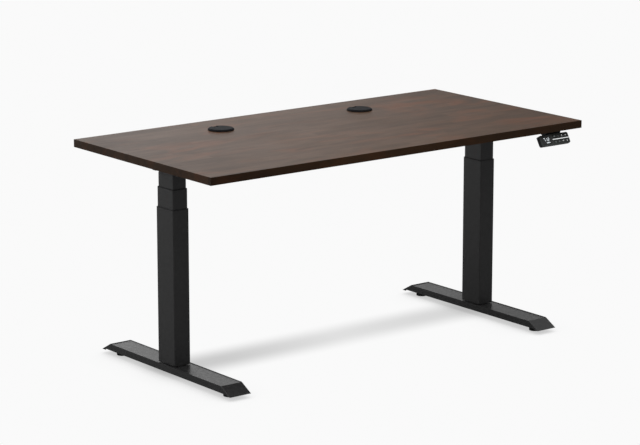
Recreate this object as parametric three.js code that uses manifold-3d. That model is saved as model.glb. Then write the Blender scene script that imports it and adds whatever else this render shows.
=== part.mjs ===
// Height-adjustable standing desk: a rectangular top on a two-motor frame with three-stage legs.
// Millimetres, +Z up, origin on the floor under the middle of the top, front edge towards -Y.
import * as THREE from 'three';
import { mergeVertices } from 'three/addons/utils/BufferGeometryUtils.js';
import Module from 'manifold-3d';

const wasm = await Module();
wasm.setup();

// ---------------------------------------------------------------- driving dimensions
const GAP = 0.3;                 // clearance between pieces that touch
const ROUND = 20;                // sides on a turned piece

const TOP = { width: 1500, depth: 750, thickness: 25, edge: 1 };
const FRAME_HEIGHT = 687.5;      // floor to underside of the top
const LEG_SPREAD = 631;          // middle of the desk to the middle of a column

const GROMMET = { x: 286.5, y: 219, hole: 40, flange: 43, bore: 36.5, height: 5 };

const FOOT = {
  width: 80, topLength: 614, bottomLength: 694, bottom: 18, top: 40, wall: 2.5, flap: 14, stub: 12,
};
const GLIDE = { y: 295, pad: 19, stud: 4.9, hole: 5.4, boss: 8.5, top: 34 };

const WALL = 1.5;                // column tube wall
const OUTER = { x: 60, y: 90, corner: 2.5, bottom: FOOT.top + GAP, top: 541.5, plate: 6 };
const MIDDLE = { x: 55, y: 85, corner: 2.3, bottom: 105.5, top: 605.5, plate: 6 };
const INNER = { x: 50, y: 80, corner: 2.1, bottom: 183, top: 649.7 };
const COLLAR = { lip: 1.4, skirt: 24 };

const SOLID_SCREW = { r: 5, flange: 16, flangeHeight: 4, top: 440 };
const HOLLOW_SCREW = { r: 9, bore: 5.6, flange: 14, top: 525.5 };
const SPLINE = { r: 12, bore: 9.7, bottom: 223, top: 671 };
const NUT_HEIGHT = 30;

const GEARBOX = { left: -25, right: 40, y: 40, bottom: 650, top: 675.3, corner: 4 };
const SHAFT_Z = 663;             // height of the motor shaft
const SHAFT_Y = 21.5;            // motor shaft to column middle
const WHEEL = { tip: 15.4, root: 13.6, bottom: 657, height: 12, teeth: 16 };
const MOTOR = { r: 21, length: 95, shaft: 3, worm: 5.5, wormRoot: 4, wormLength: 26, threads: 4 };

const RAIL = { y: 62, width: 25, bottom: 649, top: 681, wall: 2, half: 420 };
const RAIL_END = { clearance: 0.35, reach: 400, plate: 3, plateRight: 39.5 };

const BRACKET = { width: 50, length: 560, sheet: 2.5, deep: 671, shallow: 682, notch: 80 };

const BOX = { x: 110, front: 150, back: 250, bottom: 652.3, top: 684.9, wall: 2.4 };
const INLET = { y: 215, z: 668.6, width: 27, height: 20, depth: 20, flange: 3, recess: 15, rim: 2 };

const HANDSET = { x: 641, width: 125, height: 38, corner: 6, panel: 3, tilt: 30.6, drop: 26.7 };
const SHELL = {
  depth: 18, floor: 16, board: 9.6, mountLeft: -18, mountRight: 42.5, reach: 65, earLeft: -54, earFront: 38,
  entryX: -46,
};
const BUTTON = { width: 13, height: 10, pitch: 16.5, firstX: 0.5, rowY: 9.5, proud: 0.2 };
const WINDOW = { x: -34.5, width: 41, height: 26, corner: 2 };

const LEAD_R = 2.5;
const LEAD_BEND = 18;
const LEAD_Z = FRAME_HEIGHT - LEAD_R - 0.6;
const SOCKET = { z: 668, r: 3.2, pitch: 70, depth: 4 };

// ---------------------------------------------------------------- finishes
const finish = (color, roughness, metalness) =>
  new THREE.MeshStandardMaterial({ color, roughness, metalness });
const FINISH = {
  walnut: finish(0x6f6259, 0.45, 0),
  blackSteel: finish(0x2b2b2b, 0.5, 0.3),
  blackPlastic: finish(0x17171a, 0.45, 0),
  castAluminium: finish(0x8e9094, 0.5, 0.8),
  steel: finish(0x9a9ca0, 0.35, 0.9),
  bronze: finish(0xa5793e, 0.4, 0.8),
  circuit: finish(0x1f5a38, 0.6, 0),
  gloss: finish(0x101113, 0.15, 0),
  icon: finish(0x1b1c1f, 0.35, 0),
  cable: finish(0x141414, 0.6, 0),
  rubber: finish(0x202020, 0.85, 0),
};

// ---------------------------------------------------------------- shape helpers
function circle(r, sides = ROUND) {
  return Array.from({ length: sides }, (_, i) => {
    const a = (2 * Math.PI * i) / sides;
    return new THREE.Vector2(r * Math.cos(a), r * Math.sin(a));
  });
}

function roundedRect(width, height, r, steps = 3) {
  const corners = [[1, 1, 0], [-1, 1, 90], [-1, -1, 180], [1, -1, 270]];
  return corners.flatMap(([sx, sy, start]) =>
    Array.from({ length: steps + 1 }, (_, i) => {
      const a = THREE.MathUtils.degToRad(start + (90 * i) / steps);
      const x = sx * (width / 2 - r) + r * Math.cos(a);
      const y = sy * (height / 2 - r) + r * Math.sin(a);
      return new THREE.Vector2(x, y);
    }));
}

const points = (...pairs) => pairs.map(([x, y]) => new THREE.Vector2(x, y));

function solid(geometry) {
  const bare = geometry.index ? geometry.toNonIndexed() : geometry.clone();
  for (const name of ['normal', 'uv']) {
    bare.deleteAttribute(name);
  }
  const merged = mergeVertices(bare, 1e-4);
  return new wasm.Manifold(new wasm.Mesh({
    numProp: 3,
    vertProperties: new Float32Array(merged.attributes.position.array),
    triVerts: new Uint32Array(merged.index.array),
  }));
}

// An outline in XY, pulled up from z = bottom to z = top.
function prism(outline, bottom, top) {
  const shape = new THREE.Shape(outline);
  const geometry = new THREE.ExtrudeGeometry(shape, { depth: top - bottom, bevelEnabled: false });
  return solid(geometry.translate(0, 0, bottom));
}

// An outline in YZ, pulled along X from x = left to x = right.
function prismX(outline, left, right) {
  const shape = new THREE.Shape(outline);
  const geometry = new THREE.ExtrudeGeometry(shape, { depth: right - left, bevelEnabled: false });
  const turn = new THREE.Matrix4().makeBasis(
    new THREE.Vector3(0, 1, 0), new THREE.Vector3(0, 0, 1), new THREE.Vector3(1, 0, 0));
  return solid(geometry.applyMatrix4(turn).translate(left, 0, 0));
}

function block(x0, x1, y0, y1, z0, z1) {
  const geometry = new THREE.BoxGeometry(x1 - x0, y1 - y0, z1 - z0);
  return solid(geometry.translate((x0 + x1) / 2, (y0 + y1) / 2, (z0 + z1) / 2));
}

// A profile of [radius, height] points turned about Z; it starts and ends on the axis or closes.
function turned(profile, sides = ROUND) {
  const geometry = new THREE.LatheGeometry(points(...profile), sides);
  return solid(geometry.rotateX(Math.PI / 2));
}

function drill(r, x, y, bottom, top, sides = ROUND) {
  return prism(circle(r, sides), bottom, top).translate([x, y, 0]);
}

function drillY(r, x, z, front, back, sides = 16) {
  const geometry = new THREE.CylinderGeometry(r, r, back - front, sides);
  return solid(geometry.translate(x, (front + back) / 2, z));
}

function drillX(r, y, z, left, right, sides = ROUND) {
  const geometry = new THREE.CylinderGeometry(r, r, right - left, sides).rotateZ(Math.PI / 2);
  return solid(geometry.translate((left + right) / 2, y, z));
}

function fuse(first, ...rest) {
  return rest.reduce((whole, piece) => whole.add(piece), first);
}

function carve(body, ...cutters) {
  return cutters.reduce((whole, cutter) => whole.subtract(cutter), body);
}

function geometryOf(body) {
  const { vertProperties, triVerts } = body.getMesh();
  const geometry = new THREE.BufferGeometry();
  geometry.setAttribute('position', new THREE.BufferAttribute(vertProperties, 3));
  geometry.setIndex(new THREE.BufferAttribute(triVerts, 1));
  return geometry;
}

function piece(parent, name, body, material) {
  const geometry = body.isBufferGeometry ? body : geometryOf(body);
  const mesh = new THREE.Mesh(geometry, material);
  mesh.name = name;
  parent.add(mesh);
  return mesh;
}

// ---------------------------------------------------------------- legs
// One leg in its own frame: column middle at x = y = 0, the inside of the desk towards +X.
// The right leg is the same leg turned half round, as it is on the real frame.

// A folded-steel channel, open underneath, whose ends slope out to the floor. The end flaps hang
// a little lower than the sides.
function foot() {
  const overhang = (FOOT.bottomLength - FOOT.topLength) / 2;
  const slope = overhang / (FOOT.top - FOOT.bottom);
  const insideShift = FOOT.wall * Math.hypot(1, slope);
  const halfAt = (z) => FOOT.topLength / 2 + (FOOT.top - z) * slope;
  const roof = FOOT.top - FOOT.wall;
  const below = FOOT.flap - 1;
  const outside = points(
    [-halfAt(FOOT.flap), FOOT.flap], [halfAt(FOOT.flap), FOOT.flap],
    [halfAt(FOOT.top), FOOT.top], [-halfAt(FOOT.top), FOOT.top]);
  const inside = points(
    [insideShift - halfAt(below), below], [halfAt(below) - insideShift, below],
    [halfAt(roof) - insideShift, roof], [insideShift - halfAt(roof), roof]);
  const half = FOOT.width / 2;
  const sideEnd = halfAt(FOOT.bottom) - FOOT.stub;
  let body = carve(
    prismX(outside, -half, half),
    prismX(inside, FOOT.wall - half, half - FOOT.wall),
    block(-half - 1, half + 1, -sideEnd, sideEnd, below, FOOT.bottom));
  for (const side of [-1, 1]) {
    const y = side * GLIDE.y;
    body = fuse(body, drill(GLIDE.boss, 0, y, FOOT.bottom + 1, roof + 0.5, 16));
    body = carve(body, drill(GLIDE.hole, 0, y, FOOT.bottom, roof, 16));
  }
  return body;
}

// A levelling glide: wide pad on the floor, spanner collar, threaded stud up into the foot.
function glide() {
  return turned([
    [0, 0], [GLIDE.pad - 1.5, 0], [GLIDE.pad, 1.5], [GLIDE.pad, 8], [GLIDE.pad - 4, 12],
    [10, 13], [10, 17.4], [GLIDE.stud, 17.4], [GLIDE.stud, GLIDE.top], [0, GLIDE.top],
  ]);
}

const section = (tube, inset = 0) =>
  roundedRect(tube.x - 2 * inset, tube.y - 2 * inset, Math.max(tube.corner - inset, 1));

// A column tube whose lower end is closed by a plate.
function platedTube(tube) {
  const top = tube.top - COLLAR.lip - GAP;
  return carve(
    prism(section(tube), tube.bottom, top),
    prism(section(tube, WALL), tube.bottom + tube.plate, top + 1));
}

// The plastic guide in the mouth of a tube: a lip on its end and a skirt round the next tube.
function collar(tube, next) {
  const opening = roundedRect(next.x + 2 * GAP, next.y + 2 * GAP, next.corner + GAP);
  return carve(
    fuse(
      prism(section(tube), tube.top - COLLAR.lip, tube.top),
      prism(section(tube, WALL + GAP), tube.top - COLLAR.skirt, tube.top)),
    prism(opening, tube.top - COLLAR.skirt - 1, tube.top + 1));
}

function middleTube() {
  const guideHole = SOLID_SCREW.r + 2;
  const { bottom, plate } = MIDDLE;
  return carve(platedTube(MIDDLE), drill(guideHole, 0, 0, bottom - 1, bottom + plate + 1));
}

function innerTube() {
  return carve(
    prism(section(INNER), INNER.bottom, INNER.top),
    prism(section(INNER, WALL), INNER.bottom - 1, INNER.top + 1));
}

function solidScrew() {
  const base = OUTER.bottom + OUTER.plate + GAP;
  const shoulder = base + SOLID_SCREW.flangeHeight;
  return turned([
    [0, base], [SOLID_SCREW.flange, base], [SOLID_SCREW.flange, shoulder],
    [SOLID_SCREW.r, shoulder], [SOLID_SCREW.r, SOLID_SCREW.top - 3],
    [SOLID_SCREW.r - 2, SOLID_SCREW.top], [0, SOLID_SCREW.top],
  ]);
}

function hollowScrew() {
  const base = MIDDLE.bottom + MIDDLE.plate + GAP;
  const { r, bore, flange, top } = HOLLOW_SCREW;
  return turned([
    [bore, base], [flange, base], [flange, base + 4], [r, base + 4], [r, top], [bore, top], [bore, base],
  ]);
}

function splineTube() {
  const { r, bore, bottom, top } = SPLINE;
  return turned([[bore, bottom], [r, bottom], [r, top], [bore, top], [bore, bottom]]);
}

function travellingNut() {
  const clear = 2 * (WALL + GAP);
  const outline = roundedRect(INNER.x - clear, INNER.y - clear, 1.5);
  const top = INNER.bottom + NUT_HEIGHT;
  return carve(
    prism(outline, INNER.bottom, top),
    drill(HOLLOW_SCREW.r + 0.5, 0, 0, INNER.bottom - 1, top + 1));
}

function wormWheel() {
  const outline = [];
  for (let tooth = 0; tooth < WHEEL.teeth; tooth += 1) {
    for (const [r, share] of [[WHEEL.root, 0.1], [WHEEL.tip, 0.35], [WHEEL.tip, 0.65], [WHEEL.root, 0.9]]) {
      const a = (2 * Math.PI * (tooth + share)) / WHEEL.teeth;
      outline.push(new THREE.Vector2(r * Math.cos(a), r * Math.sin(a)));
    }
  }
  const top = WHEEL.bottom + WHEEL.height;
  return carve(prism(outline, WHEEL.bottom, top), drill(SPLINE.r + GAP, 0, 0, WHEEL.bottom - 1, top + 1));
}

// Cast housing: a round chamber for the wheel, and a tunnel beside it for the worm.
function gearbox() {
  const { left, right, y, bottom, top, corner } = GEARBOX;
  const outline = roundedRect(right - left, 2 * y, corner).map((p) => p.setX(p.x + (left + right) / 2));
  return carve(
    prism(outline, bottom, top),
    drill(WHEEL.tip + 1.1, 0, 0, bottom + 5, top - 3),
    drill(SPLINE.r + 1, 0, 0, bottom - 1, bottom + 6),
    drillX(MOTOR.worm + 1.5, SHAFT_Y, SHAFT_Z, left + 5, right + 1));
}

// Motor can with its shaft and the worm cut on it, turned about the shaft and laid along X.
function motor() {
  const face = GEARBOX.right + GAP;
  const end = face + MOTOR.length;
  const start = -MOTOR.wormLength / 2;
  const pitch = MOTOR.wormLength / MOTOR.threads;
  const profile = [[0, start - 3], [MOTOR.shaft, start - 3], [MOTOR.shaft, start], [MOTOR.wormRoot, start]];
  for (let thread = 0; thread < MOTOR.threads; thread += 1) {
    const x = start + thread * pitch;
    profile.push([MOTOR.worm, x + pitch * 0.5], [MOTOR.wormRoot, x + pitch]);
  }
  profile.push(
    [MOTOR.shaft, start + MOTOR.wormLength], [MOTOR.shaft, face], [MOTOR.r, face],
    [MOTOR.r, end - 4], [MOTOR.r - 4, end], [0, end]);
  const geometry = new THREE.LatheGeometry(points(...profile), 16);
  geometry.rotateX(Math.PI / 2).rotateY(Math.PI / 2).translate(0, SHAFT_Y, SHAFT_Z);
  return solid(geometry);
}

// Two rail ends joined by the plate that the gearbox bolts up to.
function endFrame() {
  const { y, width, wall, bottom, top } = RAIL;
  const { clearance, reach, plate, plateRight } = RAIL_END;
  const inset = wall + clearance;
  const half = width / 2 - inset;
  const left = GEARBOX.left;
  const low = bottom + inset;
  const high = top - inset;
  let body = block(left, plateRight, -y - half, y + half, high - plate, high);
  for (const side of [-1, 1]) {
    const centre = side * y;
    body = fuse(body, block(left, reach, centre - half, centre + half, low, high));
  }
  for (const side of [-1, 1]) {
    const centre = side * y;
    const hollow = half - wall;
    body = carve(body,
      block(left - 1, reach + 1, centre - hollow, centre + hollow, low + wall, high - plate));
  }
  return body;
}

// Channel that the top is screwed to: a web against the wood, and two flanges that are notched
// over the end frame and taper to the ends.
function sideBracket() {
  const half = BRACKET.width / 2;
  const end = BRACKET.length / 2;
  const webTop = FRAME_HEIGHT - GAP;
  const webBottom = webTop - BRACKET.sheet;
  const seat = RAIL.top - RAIL.wall - RAIL_END.clearance + GAP;
  const flange = points(
    [-end, BRACKET.shallow], [-BRACKET.notch - 4, BRACKET.deep], [-BRACKET.notch, seat],
    [BRACKET.notch, seat], [BRACKET.notch + 4, BRACKET.deep], [end, BRACKET.shallow],
    [end, webTop], [-end, webTop]);
  return fuse(
    prism(roundedRect(BRACKET.width, BRACKET.length, 2), webBottom, webTop),
    prismX(flange, -half, BRACKET.sheet - half),
    prismX(flange, half - BRACKET.sheet, half));
}

function buildLeg(side) {
  const leg = new THREE.Group();
  leg.position.x = (side === 'left' ? -1 : 1) * LEG_SPREAD;
  leg.rotation.z = side === 'left' ? 0 : Math.PI;
  piece(leg, `${side}_foot`, foot(), FINISH.blackSteel);
  for (const end of ['front', 'rear']) {
    const towards = (end === 'front' ? -1 : 1) * (side === 'left' ? 1 : -1);
    piece(leg, `${side}_${end}_glide`, glide(), FINISH.rubber).position.y = towards * GLIDE.y;
  }
  piece(leg, `${side}_outer_tube`, platedTube(OUTER), FINISH.blackSteel);
  piece(leg, `${side}_outer_collar`, collar(OUTER, MIDDLE), FINISH.blackPlastic);
  piece(leg, `${side}_solid_screw`, solidScrew(), FINISH.steel);
  piece(leg, `${side}_middle_tube`, middleTube(), FINISH.blackSteel);
  piece(leg, `${side}_middle_collar`, collar(MIDDLE, INNER), FINISH.blackPlastic);
  piece(leg, `${side}_hollow_screw`, hollowScrew(), FINISH.steel);
  piece(leg, `${side}_inner_tube`, innerTube(), FINISH.blackSteel);
  piece(leg, `${side}_travelling_nut`, travellingNut(), FINISH.bronze);
  piece(leg, `${side}_spline_tube`, splineTube(), FINISH.steel);
  piece(leg, `${side}_worm_wheel`, wormWheel(), FINISH.bronze);
  piece(leg, `${side}_gearbox`, gearbox(), FINISH.castAluminium);
  piece(leg, `${side}_motor`, motor(), FINISH.blackSteel);
  piece(leg, `${side}_end_frame`, endFrame(), FINISH.blackSteel);
  piece(leg, `${side}_side_bracket`, sideBracket(), FINISH.blackSteel);
  return leg;
}

// ---------------------------------------------------------------- crossbar
function rail() {
  const { half, width, bottom, top, wall } = RAIL;
  const w = width / 2;
  return carve(
    block(-half, half, -w, w, bottom, top),
    block(-half - 1, half + 1, wall - w, w - wall, bottom + wall, top - wall));
}

function buildCrossbar() {
  const crossbar = new THREE.Group();
  piece(crossbar, 'front_rail', rail(), FINISH.blackSteel).position.y = -RAIL.y;
  piece(crossbar, 'rear_rail', rail(), FINISH.blackSteel).position.y = RAIL.y;
  return crossbar;
}

// ---------------------------------------------------------------- top and grommets
function desktop() {
  const { width, depth, thickness, edge } = TOP;
  const outline = new THREE.Shape(roundedRect(width - 2 * edge, depth - 2 * edge, edge, 1));
  const geometry = new THREE.ExtrudeGeometry(outline, {
    depth: thickness - 2 * edge,
    bevelEnabled: true,
    bevelSegments: 1,
    bevelSize: edge,
    bevelThickness: edge,
  });
  const board = solid(geometry.translate(0, 0, FRAME_HEIGHT + edge));
  const holes = [-1, 1].map((side) => drill(
    GROMMET.hole, side * GROMMET.x, GROMMET.y, FRAME_HEIGHT - 1, FRAME_HEIGHT + thickness + 1, 32));
  return carve(board, ...holes);
}

// Grommet pieces are drawn with z = 0 on the top's upper face.
function grommetLiner() {
  const sleeve = GROMMET.hole - 0.7;
  const { bore, flange } = GROMMET;
  return turned([
    [bore, -22], [sleeve, -22], [sleeve, GAP], [flange, GAP], [flange, 1.2], [flange - 1.8, 3],
    [bore, 3], [bore, -22],
  ], 32);
}

// The cap drops into the liner; a slot in its rim lets the cables through.
function grommetCap() {
  const plug = GROMMET.bore - 0.7;
  const lip = GROMMET.flange - 3.5;
  const { height } = GROMMET;
  const disc = turned([
    [0, 0.5], [plug - 2, 0.5], [plug - 2, -8], [plug, -8], [plug, 3 + GAP], [lip, 3 + GAP],
    [lip, height - 0.9], [lip - 1, height], [0, height],
  ], 32);
  return carve(disc, block(-9, 9, 22, GROMMET.flange, -9, height + 1));
}

function buildTop() {
  const top = new THREE.Group();
  piece(top, 'desktop', desktop(), FINISH.walnut);
  for (const [side, sign] of [['left', -1], ['right', 1]]) {
    const grommet = new THREE.Group();
    grommet.position.set(sign * GROMMET.x, GROMMET.y, FRAME_HEIGHT + TOP.thickness);
    piece(grommet, `${side}_grommet_liner`, grommetLiner(), FINISH.blackPlastic);
    piece(grommet, `${side}_grommet_cap`, grommetCap(), FINISH.blackPlastic);
    top.add(grommet);
  }
  return top;
}

// ---------------------------------------------------------------- control box
function controlCase() {
  const { x, front, back, bottom, top, wall } = BOX;
  const sockets = [-1, 0, 1].map((i) =>
    drillY(SOCKET.r, i * SOCKET.pitch, SOCKET.z, front - 1, front + wall + 1));
  const inlet = block(
    x - wall - 1, x + 1,
    INLET.y - INLET.width / 2 - GAP, INLET.y + INLET.width / 2 + GAP,
    INLET.z - INLET.height / 2 - GAP, INLET.z + INLET.height / 2 + GAP);
  const outline = roundedRect(2 * x, back - front, 5).map((p) => p.setY(p.y + (front + back) / 2));
  const hollow = block(wall - x, x - wall, front + wall, back - wall, bottom + wall, top + 1);
  return carve(prism(outline, bottom, top), hollow, inlet, ...sockets);
}

function controlLid() {
  const { x, front, back, top } = BOX;
  return block(-x - 15, x + 15, front, back, top + GAP, FRAME_HEIGHT - GAP);
}

function mainsInlet() {
  const { y, z, width, height, depth, flange, recess, rim } = INLET;
  const face = BOX.x + GAP + flange;
  const w = width / 2;
  const h = height / 2;
  return carve(
    fuse(
      block(face - depth, face, y - w, y + w, z - h, z + h),
      block(BOX.x + GAP, face, y - w - 4, y + w + 4, z - h - 3, z + h + 3)),
    block(face - recess, face + 1, y - w + rim, y + w - rim, z - h + rim, z + h - rim));
}

function buildControlBox() {
  const box = new THREE.Group();
  const inside = BOX.x - BOX.wall - 8;
  piece(box, 'control_case', controlCase(), FINISH.blackPlastic);
  piece(box, 'control_lid', controlLid(), FINISH.blackSteel);
  piece(box, 'control_board', block(
    -inside, inside - 20, BOX.front + 8, BOX.back - 8, 657, 658.6), FINISH.circuit);
  piece(box, 'mains_inlet', mainsInlet(), FINISH.blackPlastic);
  return box;
}

// ---------------------------------------------------------------- handset
// Drawn lying flat: x to the right, y up the panel, z = 0 on its face and +z out of it.
const BUTTON_NAMES = [
  ['button_timer', 'button_1', 'button_2', 'button_up'],
  ['button_menu', 'button_3', 'button_4', 'button_down'],
];

const buttonPlaces = BUTTON_NAMES.flatMap((row, r) => row.map((name, i) => ({
  name,
  x: BUTTON.firstX + i * BUTTON.pitch,
  y: (r === 0 ? 1 : -1) * BUTTON.rowY,
})));

function facePanel() {
  const { width, height, corner, panel } = HANDSET;
  const windowCut = prism(roundedRect(WINDOW.width, WINDOW.height, WINDOW.corner), -panel - 1, 1)
    .translate([WINDOW.x, 0, 0]);
  const keyHole = roundedRect(BUTTON.width + 0.8, BUTTON.height + 0.8, 2, 2);
  const buttonCuts = buttonPlaces.map(({ x, y }) => prism(keyHole, -panel - 1, 1).translate([x, y, 0]));
  return carve(prism(roundedRect(width, height, corner), -panel, 0), windowCut, ...buttonCuts);
}

function displayLens() {
  return prism(roundedRect(WINDOW.width - 0.8, WINDOW.height - 0.8, WINDOW.corner), -2.7, 0);
}

// A keycap with a flange behind the panel that keeps it in.
function button() {
  return fuse(
    prism(roundedRect(BUTTON.width, BUTTON.height, 1.6, 2), -5.5, BUTTON.proud),
    prism(roundedRect(BUTTON.width + 2.4, BUTTON.height + 2.4, 1, 1), -5.5, -HANDSET.panel - 0.4));
}

// The shell behind the panel: a shallow tray, a mounting block that rises to the top and stops well
// short of both ends, and a thin ear beside it that the lead goes into.
function handsetCase() {
  const { width, height, panel, tilt, drop } = HANDSET;
  const { depth, floor, board, mountLeft, mountRight, reach, earLeft, earFront, entryX } = SHELL;
  const back = -panel - GAP;
  const lean = THREE.MathUtils.degToRad(tilt);
  // y and z in the panel's frame of a point that lies "behind" the panel's middle and "below" the top
  const flat = (behind, below) => [
    behind * Math.sin(lean) + (drop - below) * Math.cos(lean),
    -behind * Math.cos(lean) + (drop - below) * Math.sin(lean)];
  const low = 0.5 - height / 2;
  const high = height / 2 - 0.5;
  const tray = points(
    [low, back], [low, 4 - depth], [low + 4, -depth], [high - 2, -depth], [high, 2 - depth], [high, back]);
  const mount = points(
    [high - 3.5, back], [high - 13.5, -14], flat(reach, 10), flat(reach, GAP), flat(19.3, GAP));
  const ear = points(flat(reach, 10.5), flat(reach, GAP), flat(earFront, GAP), flat(earFront, 5.5));
  const half = width / 2 - 2;
  const shell = fuse(
    prismX(tray, -half, half), prismX(mount, mountLeft, mountRight), prismX(ear, earLeft, mountLeft + 1));
  const cavity = block(2 - half, half - 2, 3 - height / 2, height / 2 - 3, -board, back + 1);
  const pocket = block(2 - half, mountLeft - 2, 4 - height / 2, height / 2 - 4, -floor, 1 - board);
  const socketDepth = 7;
  const [entryY, entryZ] = flat(reach - socketDepth / 2, 5);
  const entry = new THREE.CylinderGeometry(SOCKET.r, SOCKET.r, socketDepth + 1, 12);
  entry.rotateX(lean - Math.PI / 2).translate(entryX, entryY, entryZ);
  return carve(shell, cavity, pocket, solid(entry));
}

function buildHandset() {
  const handset = new THREE.Group();
  const lean = THREE.MathUtils.degToRad(HANDSET.tilt);
  const reach = (HANDSET.height / 2) * Math.sin(lean);
  handset.position.set(HANDSET.x, -TOP.depth / 2 + reach, FRAME_HEIGHT - HANDSET.drop);
  handset.rotation.x = Math.PI / 2 - lean;
  piece(handset, 'handset_panel', facePanel(), FINISH.gloss);
  piece(handset, 'handset_display', displayLens(), FINISH.gloss).position.x = WINDOW.x;
  piece(handset, 'handset_case', handsetCase(), FINISH.blackPlastic);
  piece(handset, 'handset_board', block(-56, 56, -15, 15, -8.8, -7.2), FINISH.circuit);
  for (const { name, x, y } of buttonPlaces) {
    piece(handset, name, button(), FINISH.icon).position.set(x, y, 0);
  }
  return handset;
}

// ---------------------------------------------------------------- leads
// Leads clipped up under the top, over the rails, from the control box to the motors and handset.
// A route is straight runs joined by bends: each bend starts and ends BEND from its corner.
function leadCurve(route) {
  const corners = route.map(([x, y, z]) => new THREE.Vector3(x, y, z));
  const curve = new THREE.CurvePath();
  let from = corners[0];
  for (let i = 1; i < corners.length - 1; i += 1) {
    const [before, corner, after] = corners.slice(i - 1, i + 2);
    const bend = Math.min(LEAD_BEND, before.distanceTo(corner) / 2, corner.distanceTo(after) / 2);
    const entry = corner.clone().lerp(before, bend / corner.distanceTo(before));
    const exit = corner.clone().lerp(after, bend / corner.distanceTo(after));
    if (from.distanceTo(entry) > 0.01) {
      curve.add(new THREE.LineCurve3(from, entry));
    }
    curve.add(new THREE.QuadraticBezierCurve3(entry, corner, exit));
    from = exit;
  }
  curve.add(new THREE.LineCurve3(from, corners.at(-1)));
  return curve;
}

function lead(route, steps = 32) {
  const outline = new THREE.Shape(circle(LEAD_R, 8));
  const geometry = new THREE.ExtrudeGeometry(
    outline, { extrudePath: leadCurve(route), steps, bevelEnabled: false });
  return solid(geometry);
}

function buildLeads() {
  const leads = new THREE.Group();
  const motorEnd = LEG_SPREAD - GEARBOX.right - MOTOR.length - 2 * GAP;
  const socketY = BOX.front + SOCKET.depth;
  const up = LEAD_Z;
  piece(leads, 'left_motor_lead', lead([
    [-motorEnd, SHAFT_Y, SHAFT_Z], [-motorEnd + 24, SHAFT_Y, SHAFT_Z], [-motorEnd + 52, 24, up],
    [-400, 36, up], [-160, 116, up], [-100, 118, up], [-SOCKET.pitch, 122, SOCKET.z],
    [-SOCKET.pitch, socketY, SOCKET.z],
  ]), FINISH.cable);
  piece(leads, 'right_motor_lead', lead([
    [motorEnd, -SHAFT_Y, SHAFT_Z], [motorEnd - 24, -SHAFT_Y, SHAFT_Z], [motorEnd - 52, -16, up],
    [400, 0, up], [160, 116, up], [100, 118, up], [SOCKET.pitch, 122, SOCKET.z],
    [SOCKET.pitch, socketY, SOCKET.z],
  ]), FINISH.cable);
  const entryX = HANDSET.x + SHELL.entryX;
  const entryY = -TOP.depth / 2 + 73;
  const entryZ = FRAME_HEIGHT - 5;
  piece(leads, 'handset_lead', lead([
    [0, socketY, SOCKET.z], [0, 126, SOCKET.z], [14, 104, up], [60, 60, up], [420, -150, up],
    [entryX - 14, -258, up], [entryX, entryY + 14, entryZ], [entryX, entryY - 1, entryZ],
  ], 36), FINISH.cable);
  return leads;
}

// ---------------------------------------------------------------- the desk
const desk = new THREE.Group();
desk.add(
  buildLeg('left'), buildLeg('right'), buildCrossbar(), buildTop(), buildControlBox(), buildHandset(),
  buildLeads());

export default desk;
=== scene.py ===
"""Height-adjustable standing desk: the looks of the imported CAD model, laid out as an add-on."""

import math

import bmesh
import bpy
import numpy as np
from bpy.props import FloatProperty, FloatVectorProperty, IntProperty, PointerProperty
from bpy.types import Operator, Panel, PropertyGroup
from mathutils import Matrix, Vector
from mathutils.geometry import tessellate_polygon


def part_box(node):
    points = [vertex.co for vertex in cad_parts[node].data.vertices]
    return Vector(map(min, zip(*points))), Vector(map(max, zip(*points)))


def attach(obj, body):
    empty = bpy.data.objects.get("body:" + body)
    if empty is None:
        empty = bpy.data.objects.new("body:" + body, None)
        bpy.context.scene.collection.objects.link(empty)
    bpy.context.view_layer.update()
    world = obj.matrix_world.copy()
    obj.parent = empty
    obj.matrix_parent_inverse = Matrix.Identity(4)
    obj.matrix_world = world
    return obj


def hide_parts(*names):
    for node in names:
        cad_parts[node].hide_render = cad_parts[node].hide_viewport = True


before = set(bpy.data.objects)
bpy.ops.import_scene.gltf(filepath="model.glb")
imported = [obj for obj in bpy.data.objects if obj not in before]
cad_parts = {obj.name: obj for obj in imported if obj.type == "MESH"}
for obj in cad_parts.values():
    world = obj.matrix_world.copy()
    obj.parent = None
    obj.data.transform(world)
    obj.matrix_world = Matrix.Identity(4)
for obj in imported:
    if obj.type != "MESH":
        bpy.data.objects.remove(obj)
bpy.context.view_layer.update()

bl_info = {
    "name": "Standing Desk",
    "version": (1, 0, 0),
    "blender": (4, 5, 0),
    "location": "View3D > Sidebar > Desk",
    "description": "Builds a height-adjustable desk's visible pieces and finishes round its CAD model",
    "category": "Object",
}

MM = 0.001
SIDES = ("left", "right")

SHARP_ANGLE = math.radians(32)     # edges sharper than this are drawn sharp
ROUND = 48                         # points of a circle, unless a piece needs fewer or more

# Sizes and places that the CAD model also has, in metres.
BOARD_HOLE = 0.040                 # radius of the holes in the board
LINER_BORE, LINER_SLEEVE = 0.0365, 0.0393
NOTCH_HALF, NOTCH_FLOOR = 0.009, 0.022
FOOT_WALL, FOOT_SLOPE = 0.0025, 0.040 / 0.022
COLUMN_WALL, COLUMN_PLATE, GUIDE_GAP = 0.0015, 0.006, 0.0003
SHAFT_Y, SHAFT_Z = 0.0215, 0.663   # a motor's shaft, in its leg's own frame
MOTOR_FACE, MOTOR_END = 0.0403, 0.1353
GEARBOX_FACE, GEARBOX_UNDER = 0.040, 0.650
RAIL_Y, RAIL_WALL, RAIL_EDGE = 0.062, 0.002, 0.0004
ARM_BOTTOM, ARM_TOP = 0.65135, 0.67865
BRACKET_SHEET, BRACKET_BEND, BRACKET_SEAT = 0.0025, 0.0035, 0.67895
LEAD_RADIUS = 0.0025
PLUG_Y, PLUG_Z, CLIP_Z = 0.1355, 0.668, 0.6873
HANDSET_LEAN, HANDSET_Z = math.radians(30.6), 0.6608

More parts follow.
